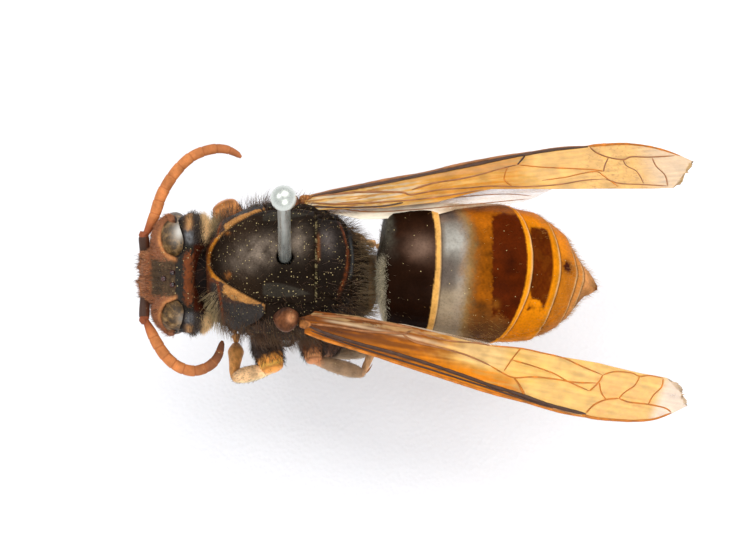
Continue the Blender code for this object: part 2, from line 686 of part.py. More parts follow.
def wing_sheet(outline, veins, steps):
    """A wing's flat triangles in mm, split along its veins, with each vertex's distance to a vein."""
    border = [point.to_2d() for point in smooth_path([(u, v, 0.0) for u, v in outline], steps)]
    flat = [(point.x, point.y) for point in border]
    points = list(border)
    edges = [(i, i + 1) for i in range(len(points) - 1)] + [(len(points) - 1, 0)]
    lines = []
    for vein in veins:
        row = [point.to_2d() for point in smooth_path([(u, v, 0.0) for u, v in vein], 4 if len(vein) > 2 else 2)]
        first = len(points)
        points.extend(row)
        edges.extend((first + i, first + i + 1) for i in range(len(row) - 1))
        lines.extend(zip(row, row[1:]))
    flank = VEIN_HALF_WIDTH / MM * 1.6
    for start, end in list(lines):
        along = (end - start).normalized()
        across = Vector((-along.y, along.x))
        for sign in (-1, 1):
            spot = (start + end) / 2 + across * flank * sign
            near_edge = min(distance_to_line(spot, a, b) for a, b in zip(border, border[1:] + border[:1]))
            near_vein = min(distance_to_line(spot, a, b) for a, b in lines)
            near_spot = min((spot - other).length for other in points)
            if inside(spot, flat) and near_edge > 0.12 and near_vein > flank * 0.9 and near_spot > 0.2:
                points.append(spot)
    made = delaunay_2d_cdt(points, edges, [list(range(len(border)))], 1, 1e-4)
    return made[0], made[2], lines


def make_wing(name, side, outline, veins, drop, parts, body):
    """A folded wing as an open sheet given thickness, its veins raised as ridges on both faces."""
    sign = 1 if side == "right" else -1
    spread = WING_SPREAD[side]
    along = Vector((math.cos(spread), sign * math.sin(spread), -math.sin(WING_DROOP)))
    inward = Vector((0.0, -sign * math.cos(WING_ROOF), math.sin(WING_ROOF)))
    root = Vector((WING_ROOT[0], sign * WING_ROOT[1], WING_ROOT[2] - drop))
    spots, faces, lines = wing_sheet(outline, veins, 3)
    shape = bmesh.new()
    verts = []
    for spot in spots:
        arch = WING_ARCH * math.sin(math.pi * min(1.0, spot.x * MM / WING_LENGTH))
        verts.append(shape.verts.new(root + along * spot.x * MM + inward * spot.y * MM + Vector((0, 0, arch))))
    for face in faces:
        shape.faces.new([verts[i] for i in face])
    wing = as_object(name, shape, parts, body)

    thickness = wing.vertex_groups.new(name="thickness")
    span = VEIN_THICKNESS - WING_TIP_THICKNESS
    for index, spot in enumerate(spots):
        near = min(distance_to_line(spot, a, b) for a, b in lines) * MM
        ridge = max(0.0, 1.0 - near / VEIN_HALF_WIDTH)
        tip = max(0.0, min(1.0, (WING_LENGTH - spot.x * MM) / (2.2 * MM)))
        membrane = WING_TIP_THICKNESS + (WING_THICKNESS - WING_TIP_THICKNESS) * tip
        depth = membrane + (VEIN_THICKNESS - WING_THICKNESS) * ridge
        thickness.add([index], (depth - WING_TIP_THICKNESS) / span, "REPLACE")
    shell = wing.modifiers.new("thickness", "SOLIDIFY")
    shell.thickness = VEIN_THICKNESS
    shell.offset = 0.0
    shell.vertex_group = thickness.name
    shell.thickness_vertex_group = WING_TIP_THICKNESS / VEIN_THICKNESS
    settle(wing)
    paint(wing, name.replace("_", " "), COLOURS["wing"], roughness=0.25)


def make_wings(parts, body):
    for side in ("right", "left"):
        make_wing(f"forewing_{side}", side, FOREWING_OUTLINE, FOREWING_VEINS, 0.0, parts, body)
        make_wing(f"hindwing_{side}", side, HINDWING_OUTLINE, HINDWING_VEINS, HINDWING_DROP, parts, body)


clear_scene()
hornet = collection("asian_hornet")
tools = collection("cutters")
body_pose = bpy.data.objects.new("body_pose", None)
hornet.objects.link(body_pose)
body_pose.location = (0.0, 0.0, AXIS_HEIGHT)
bpy.context.view_layer.update()

make_base(hornet, tools)
make_pin(hornet)
make_head(hornet, tools, body_pose)
make_antennae(hornet, body_pose)
make_thorax(hornet, tools, body_pose)
make_abdomen(hornet, body_pose)
make_legs(hornet, tools, body_pose)
make_wings(hornet, body_pose)
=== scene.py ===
"""The looks of a pinned Asian hornet, at life size, on a museum pin over a plain base.

The frame is the solids' own: +Z up, the head towards -X, the insect's right side +Y. Lengths are in metres, and in
mm where a comment or a docstring says so; in_metres turns those into metres as their meshes are made.
"""

import math

import bmesh
import bpy
import numpy as np
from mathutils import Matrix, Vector


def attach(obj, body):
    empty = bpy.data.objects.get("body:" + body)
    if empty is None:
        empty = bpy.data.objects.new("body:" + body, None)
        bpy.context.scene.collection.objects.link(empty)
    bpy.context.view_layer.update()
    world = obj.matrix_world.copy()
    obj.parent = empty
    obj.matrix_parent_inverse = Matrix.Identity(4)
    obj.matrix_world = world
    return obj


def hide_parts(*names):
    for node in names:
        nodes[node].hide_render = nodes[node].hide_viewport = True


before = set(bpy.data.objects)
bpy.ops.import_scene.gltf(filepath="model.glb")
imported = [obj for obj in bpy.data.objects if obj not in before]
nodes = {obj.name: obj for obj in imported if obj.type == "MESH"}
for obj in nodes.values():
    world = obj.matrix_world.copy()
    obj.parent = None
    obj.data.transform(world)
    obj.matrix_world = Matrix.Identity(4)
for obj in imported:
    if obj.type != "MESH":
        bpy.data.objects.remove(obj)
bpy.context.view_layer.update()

MM = 0.001
AXIS_HEIGHT = 15.0 * MM


# The base: a plain block of dense white foam board, cut square with its corners rounded over. The pin is pushed
# into it from above. Its faces are matt, with the fine closed cells of the foam showing.
BASE_WHITE = (0.875, 0.882, 0.902, 1.0)
BASE_GREY = (0.85, 0.858, 0.88, 1.0)
BASE_CELLS_PER_METRE = 5200.0


def new_material(name):
    """An empty procedural material with its Principled shader and its Object coordinates."""
    material = bpy.data.materials.new(name)
    material.use_nodes = True
    tree = material.node_tree
    shader = tree.nodes["Principled BSDF"]
    place = tree.nodes.new("ShaderNodeTexCoord")
    return material, tree, shader, place.outputs["Object"]


def add_node(tree, kind, values=None, **settings):
    """A node with its settings and its inputs filled in, by name or by number; a socket given as a value is linked."""
    node = tree.nodes.new(kind)
    for key, value in settings.items():
        setattr(node, key, value)
    for key, value in (values or {}).items():
        if isinstance(value, bpy.types.NodeSocket):
            tree.links.new(value, node.inputs[key])
        else:
            node.inputs[key].default_value = value
    return node


def ramp(tree, factor, *stops):
    """A colour ramp over a factor; each stop is a place and a colour or a grey."""
    node = tree.nodes.new("ShaderNodeValToRGB")
    tree.links.new(factor, node.inputs[0])
    while len(node.color_ramp.elements) < len(stops):
        node.color_ramp.elements.new(0.5)
    for element, (place, colour) in zip(node.color_ramp.elements, stops):
        element.position = place
        element.color = colour if isinstance(colour, tuple) else (colour, colour, colour, 1.0)
    return node.outputs["Color"]


def mix_colour(tree, factor, under, over, blend="MIX"):
    """One colour laid over another by a mask."""
    node = tree.nodes.new("ShaderNodeMix")
    node.data_type = "RGBA"
    node.blend_type = blend
    for key, value in ((0, factor), (6, under), (7, over)):
        if isinstance(value, bpy.types.NodeSocket):
            tree.links.new(value, node.inputs[key])
        else:
            node.inputs[key].default_value = value
    return node.outputs[2]


def calculate(tree, operation, *values):
    """A number worked out from one to three sockets or numbers."""
    node = tree.nodes.new("ShaderNodeMath")
    node.operation = operation
    for socket, value in zip(node.inputs, values):
        if isinstance(value, bpy.types.NodeSocket):
            tree.links.new(value, socket)
        else:
            socket.default_value = value
    return node.outputs[0]


def add_bump(tree, shader, height, distance, strength=1.0):
    """Relief from a height, its distance in metres."""
    node = add_node(tree, "ShaderNodeBump", {"Strength": strength, "Distance": distance, "Height": height})
    tree.links.new(node.outputs[0], shader.inputs["Normal"])
    return node


base_finish, tree, shader, here = new_material("base_white")
cells = add_node(tree, "ShaderNodeTexVoronoi", {"Vector": here, "Scale": BASE_CELLS_PER_METRE})
cloud = add_node(tree, "ShaderNodeTexNoise", {"Vector": here, "Scale": 160.0, "Detail": 3.0})
tree.links.new(ramp(tree, cloud.outputs["Fac"], (0.35, BASE_GREY), (0.65, BASE_WHITE)), shader.inputs["Base Color"])
tree.links.new(ramp(tree, cells.outputs["Distance"], (0.0, 0.72), (0.7, 0.9)), shader.inputs["Roughness"])
add_bump(tree, shader, cells.outputs["Distance"], 0.00004, 0.5)
for material_slot in nodes["stand_base"].material_slots:
    material_slot.material = base_finish


# The pin: drawn stainless wire 0.55 mm thick, cut to a point, with a ball of the same metal pressed on its top.
# It goes down just left of the thorax's middle into the base, and the drawing left fine marks along it.
PIN_X = -5.59 * MM
PIN_Y = -0.3 * MM
PIN_RADIUS = 0.275 * MM
PIN_LENGTH = 25.5 * MM
PIN_POINT = 1.6 * MM
PIN_TIP_HEIGHT = 1.75 * MM
PIN_HEAD_RADIUS = 0.56 * MM


def in_scene(name, data):
    """An object with the given mesh, lamp or camera, put into the scene."""
    thing = bpy.data.objects.new(name, data)
    bpy.context.scene.collection.objects.link(thing)
    return thing


def piece_from(name, verts, faces, material):
    """A piece with its place in its mesh, from points and faces in metres."""
    mesh = bpy.data.meshes.new(name)
    mesh.from_pydata([tuple(vert) for vert in verts], [], [tuple(face) for face in faces])
    mesh.materials.append(material)
    mesh.shade_smooth()
    mesh.validate()
    mesh.update()
    return in_scene(name, mesh)


def rings_faces(rows, count):
    """Quads between rings of points that close round, and a fan's worth of triangles to a point at each end.

    The points come as one for the start, the rings in turn, and one for the end.
    """
    turns = [(i, (i + 1) % count) for i in range(count)]
    faces = [(0, 1 + j, 1 + i) for i, j in turns]
    for row in range(rows - 1):
        a = 1 + row * count
        b = a + count
        faces.extend((a + i, a + j, b + j, b + i) for i, j in turns)
    last = 1 + rows * count
    faces.extend((last - count + i, last - count + j, last) for i, j in turns)
    return faces


pin_finish, tree, shader, here = new_material("pin_steel")
drawn = add_node(tree, "ShaderNodeMapping", {"Vector": here, "Scale": (9000.0, 9000.0, 260.0)})
marks = add_node(tree, "ShaderNodeTexNoise", {"Vector": drawn.outputs[0], "Scale": 1.0, "Detail": 2.0})
dull = add_node(tree, "ShaderNodeTexNoise", {"Vector": here, "Scale": 900.0, "Detail": 3.0})
tree.links.new(ramp(tree, dull.outputs["Fac"], (0.3, (0.54, 0.57, 0.52, 1)), (0.7, (0.74, 0.76, 0.7, 1))),
               shader.inputs["Base Color"])
tree.links.new(ramp(tree, marks.outputs["Fac"], (0.3, 0.22), (0.7, 0.38)), shader.inputs["Roughness"])
shader.inputs["Metallic"].default_value = 0.85
add_bump(tree, shader, marks.outputs["Fac"], 0.000004, 0.6)

ball_height = PIN_TIP_HEIGHT + PIN_LENGTH - PIN_HEAD_RADIUS
neck = math.asin(PIN_RADIUS / PIN_HEAD_RADIUS)
profile = []
for step in range(1, 25):
    angle = (math.pi - neck) * step / 24
    profile.append((PIN_HEAD_RADIUS * math.sin(angle), ball_height + PIN_HEAD_RADIUS * math.cos(angle)))
fillet = profile[-1][1]
for drop, more in ((0.05, 0.05), (0.13, 0.015), (0.25, 0.0), (6.0, 0.0), (12.0, 0.0), (18.0, 0.0), (23.0, 0.0)):
    profile.append((PIN_RADIUS + more * MM, fillet - drop * MM))
for share in (0.0, 0.25, 0.5, 0.75, 0.95):
    profile.append((PIN_RADIUS * (1.0 - share) ** 0.8, PIN_TIP_HEIGHT + PIN_POINT * (1.0 - share)))
sides = 40
points = [(PIN_X, PIN_Y, ball_height + PIN_HEAD_RADIUS)]
for radius, height in profile:
    for side in range(sides):
        angle = 2 * math.pi * side / sides
        points.append((PIN_X + radius * math.cos(angle), PIN_Y + radius * math.sin(angle), height))
points.append((PIN_X, PIN_Y, PIN_TIP_HEIGHT))
insect_pin = piece_from("insect_pin", points, [face[::-1] for face in rings_faces(len(profile), sides)], pin_finish)
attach(insect_pin, "root")
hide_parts("pin")


# The thorax: one hard black shell of hoops grown together, with a tan collar in front and beaded furrows where its
# plates meet. It is a loft through measured stations, its furrows and rims pressed into the surface itself, and the
# pin went in just left of the middle, which left a ragged hole round the steel.
THORAX_STATIONS = ((-9.3, 0.75, 0.7, -0.95), (-9.12, 1.05, 1.0, -1.2), (-8.75, 1.85, 1.85, -1.9),
                   (-8.3, 2.25, 2.4, -2.25), (-7.7, 2.52, 2.8, -2.5), (-6.8, 2.78, 3.1, -2.7), (-5.6, 2.92, 3.25, -2.8),
                   (-4.5, 2.82, 3.15, -2.75), (-3.6, 2.5, 2.8, -2.6), (-2.8, 2.0, 2.15, -2.35), (-2.2, 1.5, 1.2, -2.05),
                   (-1.85, 1.1, 0.5, -1.75), (-1.62, 0.6, -0.1, -1.2))
SCUTUM_APEX = -8.85
SCUTUM_CURVE = 0.52
SCUTUM_SHOULDER = -6.45
SCUTUM_HALF_WIDTH = 2.12
SCUTUM_SUTURE = -4.25
SCUTELLUM_BACK = -2.8
SCUTELLUM_HALF_WIDTH = 1.78
HOLE_RADIUS = 0.345
THORAX_ROWS = 230
THORAX_COLUMNS = 380

BLACK_SHELL = (0.0085, 0.0045, 0.0022)
# SHEEN_GREY is the colour of the painted sheen on the top of the shell
SHEEN_GREY = (0.15, 0.115, 0.086)
BROWN_SHELL = (0.026, 0.013, 0.007)
RED_BROWN = (0.15, 0.042, 0.012)
DEEP_AMBER = (0.4, 0.14, 0.012)
TAN = (0.4, 0.18, 0.05)


def smooth_station(stations, x):
    """What follows x in each station, read along a Catmull-Rom curve at many places."""
    table = np.array(stations)
    last = len(table) - 2
    index = np.clip(np.searchsorted(table[:, 0], x, side="right") - 1, 0, last)
    before = table[np.maximum(index - 1, 0), 1:]
    start = table[index, 1:]
    end = table[index + 1, 1:]
    after = table[np.minimum(index + 2, last + 1), 1:]
    t = np.clip((x - table[index, 0]) / (table[index + 1, 0] - table[index, 0]), 0, 1)[..., None]
    return 0.5 * (2 * start + (end - before) * t + (2 * before - 5 * start + 4 * end - after) * t * t
                  + (3 * start - before - 3 * end + after) * t ** 3)


def soft(value, low, high):
    """A smooth step from 0 at low to 1 at high."""
    share = np.clip((value - low) / (high - low), 0.0, 1.0)
    return share * share * (3.0 - 2.0 * share)


def fade(value, low, high):
    """A smooth step from 1 at low to 0 at high."""
    return 1 - soft(value, low, high)


def ridge(distance, width):
    """1 on a line and near 0 beyond its width."""
    return np.exp(-((distance / width) ** 2))


def wander(points, size, seed, octaves=3):
    """An uneven value of about -1 to 1 that changes over the given size, in mm, from crossed waves."""
    source = np.random.default_rng(seed)
    total = np.zeros(points.shape[:-1])
    for octave in range(octaves):
        for _ in range(7):
            heading = source.normal(size=3)
            heading *= 2 * math.pi * 2.0 ** octave * source.uniform(0.6, 1.4) / (size * np.linalg.norm(heading))
            total += np.sin(points @ heading + source.uniform(0, 6.28)) * 0.5 ** octave
    return total / 3.4


def laid(under, colour, mask):
    """A colour laid over another where a mask says."""
    return under + (np.array(colour) - under) * mask[..., None]


def painted(tone, layers):
    """Lays colours over each other in turn: pairs of a colour and how much it covers."""
    for colour, cover in layers:
        tone = laid(tone, colour, cover)
    return tone


def plain(points, colour):
    """The same colour at every point."""
    return np.zeros(points.shape) + np.array(colour)


def unit(vectors):
    return vectors / np.maximum(np.linalg.norm(vectors, axis=-1, keepdims=True), 1e-9)


def grid_normals(points):
    """Outward normals of a grid of rings that close round."""
    around = np.roll(points, -1, axis=1) - np.roll(points, 1, axis=1)
    normal = unit(np.cross(around, np.gradient(points, axis=0)))
    middle = points.mean(axis=1, keepdims=True)
    return -normal if ((points - middle) * normal).sum() < 0 else normal


def in_metres(points):
    """Points in mm about the body's axis, as metres above the base's underside, ready for a mesh."""
    return (points * MM + np.array((0.0, 0.0, AXIS_HEIGHT))).tolist()


def colour_layer(mesh, label, values):
    """Gives each point of a mesh the colour in its row of values."""
    layer = mesh.attributes.new(label, "FLOAT_COLOR", "POINT")
    layer.data.foreach_set("color", np.hstack([values, np.ones((len(values), 1))]).ravel())


def skin_from(name, forms, material):
    """One mesh of closed skins in mm; each form is its rings of points, with their colours and their roughness."""
    verts, faces, tones, glosses = [], [], [], []
    first = 0
    for points, tone, gloss in forms:
        rows, columns, _ = points.shape
        for values, full in ((points, verts), (tone, tones), (np.repeat(gloss[..., None], 3, -1), glosses)):
            full.append(np.vstack([values[0].mean(axis=0), values.reshape(-1, 3), values[-1].mean(axis=0)]))
        row = np.arange(rows - 1)[:, None] * columns + first + 1
        column = np.arange(columns)[None, :]
        after = (column + 1) % columns
        quads = np.stack([row + column, row + after, row + columns + after, row + columns + column], -1)
        base = first + 1 + (rows - 1) * columns
        end = base + columns
        faces.extend(quads.reshape(-1, 4).tolist())
        faces.extend((first, first + 1 + (i + 1) % columns, first + 1 + i) for i in range(columns))
        faces.extend((base + i, base + (i + 1) % columns, end) for i in range(columns))
        first = end + 1
    mesh = bpy.data.meshes.new(name)
    mesh.from_pydata(in_metres(np.vstack(verts)), [], faces)
    colour_layer(mesh, "tone", np.vstack(tones))
    colour_layer(mesh, "gloss", np.vstack(glosses))
    mesh.materials.append(material)
    shape = bmesh.new()
    shape.from_mesh(mesh)
    bmesh.ops.recalc_face_normals(shape, faces=shape.faces)
    shape.to_mesh(mesh)
    shape.free()
    mesh.shade_smooth()
    return in_scene(name, mesh)


def cuticle_group():
    """Pitted insect shell: a colour with pits, faint mottling and grains of yellow dust, and the relief of the pits."""
    group = bpy.data.node_groups.new("cuticle", "ShaderNodeTree")
    for label, kind, value in (("Vector", "NodeSocketVector", None), ("Colour", "NodeSocketColor", None),
                               ("Pit Scale", "NodeSocketFloat", 9000.0), ("Pit Shade", "NodeSocketFloat", 0.4),
                               ("Mottle", "NodeSocketFloat", 0.3), ("Dust", "NodeSocketFloat", 0.3),
                               ("Dust Scale", "NodeSocketFloat", 10500.0)):
        socket = group.interface.new_socket(label, in_out="INPUT", socket_type=kind)
        if value is not None:
            socket.default_value = value
    for label, kind in (("Colour", "NodeSocketColor"), ("Height", "NodeSocketFloat"), ("Dust", "NodeSocketFloat")):
        group.interface.new_socket(label, in_out="OUTPUT", socket_type=kind)
    source = group.nodes.new("NodeGroupInput").outputs
    result = group.nodes.new("NodeGroupOutput").inputs
    pits = add_node(group, "ShaderNodeTexVoronoi", {"Vector": source["Vector"], "Scale": source["Pit Scale"]})
    dome = calculate(group, "POWER", calculate(group, "MINIMUM", pits.outputs["Distance"], 1.0), 0.6)
    shade = calculate(group, "MULTIPLY_ADD", dome, source["Pit Shade"],
                      calculate(group, "SUBTRACT", 1.0, calculate(group, "MULTIPLY", source["Pit Shade"], 0.6)))
    cloud = add_node(group, "ShaderNodeTexNoise", {"Vector": source["Vector"], "Scale": 1500.0, "Detail": 5.0})
    swing = calculate(group, "MULTIPLY_ADD", calculate(group, "SUBTRACT", cloud.outputs["Fac"], 0.5),
                      calculate(group, "MULTIPLY", source["Mottle"], 3.0), 1.0)
    amount = calculate(group, "MULTIPLY", shade, swing)
    shaded = add_node(group, "ShaderNodeVectorMath", {0: source["Colour"]}, operation="SCALE")
    group.links.new(amount, shaded.inputs["Scale"])
    grains = add_node(group, "ShaderNodeTexVoronoi", {"Vector": source["Vector"], "Scale": source["Dust Scale"]})
    picked = add_node(group, "ShaderNodeSeparateColor", {0: grains.outputs["Color"]})
    chance = calculate(group, "LESS_THAN", picked.outputs[0], calculate(group, "MULTIPLY", source["Dust"], 0.15))
    size = calculate(group, "LESS_THAN", grains.outputs["Distance"],
                     calculate(group, "MULTIPLY_ADD", picked.outputs[1], 0.18, 0.07))
    dust = calculate(group, "MULTIPLY", chance, size)
    dusty = mix_colour(group, dust, shaded.outputs[0], (0.6, 0.47, 0.22, 1.0))
    group.links.new(dusty, result["Colour"])
    group.links.new(calculate(group, "ADD", dome, calculate(group, "MULTIPLY", dust, 2.0)), result["Height"])
    group.links.new(dust, result["Dust"])
    return group


cuticle = cuticle_group()


def shell_material(name, pit_scale, pit_shade, mottle, dust, relief, coat=0.0, specular=0.25):
    """A shell that takes its markings from its own colour layer, with the cuticle's pits and dust over them."""
    material, tree, shader, here = new_material(name)
    tone = add_node(tree, "ShaderNodeAttribute", attribute_name="tone")
    gloss = add_node(tree, "ShaderNodeAttribute", attribute_name="gloss")
    skin = add_node(tree, "ShaderNodeGroup", node_tree=cuticle)
    tree.links.new(here, skin.inputs["Vector"])
    tree.links.new(tone.outputs["Color"], skin.inputs["Colour"])
    for label, value in (("Pit Scale", pit_scale), ("Pit Shade", pit_shade), ("Mottle", mottle), ("Dust", dust)):
        skin.inputs[label].default_value = value
    tree.links.new(skin.outputs["Colour"], shader.inputs["Base Color"])
    rough = calculate(tree, "MULTIPLY_ADD", skin.outputs["Dust"], 0.4, gloss.outputs["Fac"])
    tree.links.new(rough, shader.inputs["Roughness"])
    shader.inputs["Coat Weight"].default_value = coat
    shader.inputs["Coat Roughness"].default_value = 0.18
    shader.inputs["Specular IOR Level"].default_value = specular
    add_bump(tree, shader, skin.outputs["Height"], relief, 0.7)
    return material


def scutum_front(y, z):
    """Where the collar ends and the middle shell begins; its hind corner slopes forward down the side."""
    return np.minimum(SCUTUM_APEX + SCUTUM_CURVE * y * y, SCUTUM_SHOULDER - 0.85 * fade(z, 0.2, 2.0))


def thorax_zones(points):
    """How far each point lies behind the collar's edge, and where the plates and furrows are."""
    x, y, z = points[..., 0], points[..., 1], points[..., 2]
    slope = np.where(SCUTUM_APEX + SCUTUM_CURVE * y * y < SCUTUM_SHOULDER, 2 * SCUTUM_CURVE * y, 0.0)
    behind = (x - scutum_front(y, z)) / np.hypot(1.0, slope)
    above = soft(z, 0.9, 1.5)
    side = np.abs(y) - SCUTUM_HALF_WIDTH - 0.1 * np.sin((x + 6.4) * 1.3)
    plate_side = np.abs(y) - SCUTELLUM_HALF_WIDTH - 0.12 * (x + 3.5)
    return x, y, z, behind, above, side, plate_side


def thorax_surface(rows, columns):
    """The thorax's points in mm, and how far each lies outside the pin's ragged hole."""
    share = np.linspace(0.0, 1.0, rows)
    x = (-9.3 + (9.3 - 1.62) * (share - 0.035 * np.sin(2 * math.pi * share)))[:, None]
    size = smooth_station(THORAX_STATIONS, x[:, 0])
    half_width, top, bottom = (size[:, i:i + 1] for i in range(3))
    angle = 2 * math.pi * np.arange(columns) / columns
    cosine, sine = np.cos(angle)[None, :], np.sin(angle)[None, :]
    fullness = np.where(sine > 0, 0.92, 0.8)
    y = half_width * np.sign(cosine) * np.abs(cosine) ** fullness - 0.32 * soft(x, -3.2, -1.95)
    z = (top + bottom) / 2 + (top - bottom) / 2 * np.sign(sine) * np.abs(sine) ** fullness
    points = np.stack([np.broadcast_to(x, y.shape), y, z], -1)
    normal = grid_normals(points)

    x, y, z, behind, above, side, plate_side = thorax_zones(points)
    height = -0.11 * ridge(behind, 0.055) + 0.05 * ridge(behind + 0.13, 0.1)
    height -= 0.05 * soft(-behind, 0.25, 0.9) * soft(z, -2.5, 0.5)
    on_scutum = above * soft(behind, 0.0, 0.1) * fade(x, SCUTUM_SUTURE - 0.05, SCUTUM_SUTURE)
    beads = 0.8 + 0.2 * np.sin(y * 2 * math.pi / 0.16)
    across = above * fade(np.abs(y), 1.95, 2.15)
    height -= across * 0.13 * beads * ridge(x - SCUTUM_SUTURE - 0.06 * np.abs(y) ** 2 * 0.15, 0.075)
    height -= above * 0.12 * ridge(side, 0.06) * soft(x, -6.6, -6.3) * fade(x, -4.5, -4.2)
    height += on_scutum * 0.05 * soft(-side, 0.0, 0.25)
    height -= on_scutum * 0.035 * ridge(np.abs(y) - 1.15 - 0.1 * (x + 6.5), 0.05) * soft(x, -7.0, -6.2)
    height -= on_scutum * 0.02 * ridge(y - 0.05, 0.03) * fade(x, -6.6, -6.1)
    scutellum = above * soft(x, SCUTUM_SUTURE, SCUTUM_SUTURE + 0.25) * fade(x, SCUTELLUM_BACK - 0.25, SCUTELLUM_BACK)
    height += scutellum * 0.07 * fade(plate_side, -0.3, 0.0)
    height -= above * 0.1 * ridge(plate_side, 0.06) * soft(x, -4.2, -4.0) * fade(x, -2.9, -2.7)
    height -= across * 0.16 * ridge(x - SCUTELLUM_BACK - 0.05 + 0.15 * y * y, 0.07)
    height -= 0.1 * ridge(x + 2.52 + 0.03 * y * y, 0.06) * soft(z, 0.3, 0.9)
    height -= 0.1 * ridge(y, 0.14) * soft(x, -2.4, -1.9) * soft(z, -0.6, 0.4)
    lower = 1 - above
    height -= lower * 0.1 * ridge(x + 2.95 - 0.12 * z, 0.06) * soft(z, -2.2, -1.6)
    height -= lower * 0.09 * ridge(x + 5.1 + 0.35 * z, 0.055) * soft(np.abs(y), 1.3, 1.9)
    height -= lower * 0.07 * ridge(z + 0.75 - 0.1 * (x + 5), 0.055) * soft(x, -6.3, -6.1) * fade(x, -5.0, -4.8)
    height -= 0.09 * ridge(y, 0.06) * fade(z, -2.3, -1.9)
    height += 0.02 * wander(points, 1.6, 3) + 0.006 * wander(points, 0.35, 4)
    points = points + normal * height[..., None]

    hole = np.hypot(points[..., 0] - PIN_X / MM, points[..., 1] - PIN_Y / MM)
    ragged = HOLE_RADIUS + 0.025 * wander(points, 0.25, 5)
    sunk = 1 - soft(hole, ragged - 0.07, ragged + 0.02)
    points[..., 2] += np.where(points[..., 2] > 0, -1.2, 0.5) * sunk
    points[..., 2] += np.where(points[..., 2] > 0, 0.05, 0.0) * ridge(hole - ragged - 0.1, 0.09)
    return points, hole - ragged


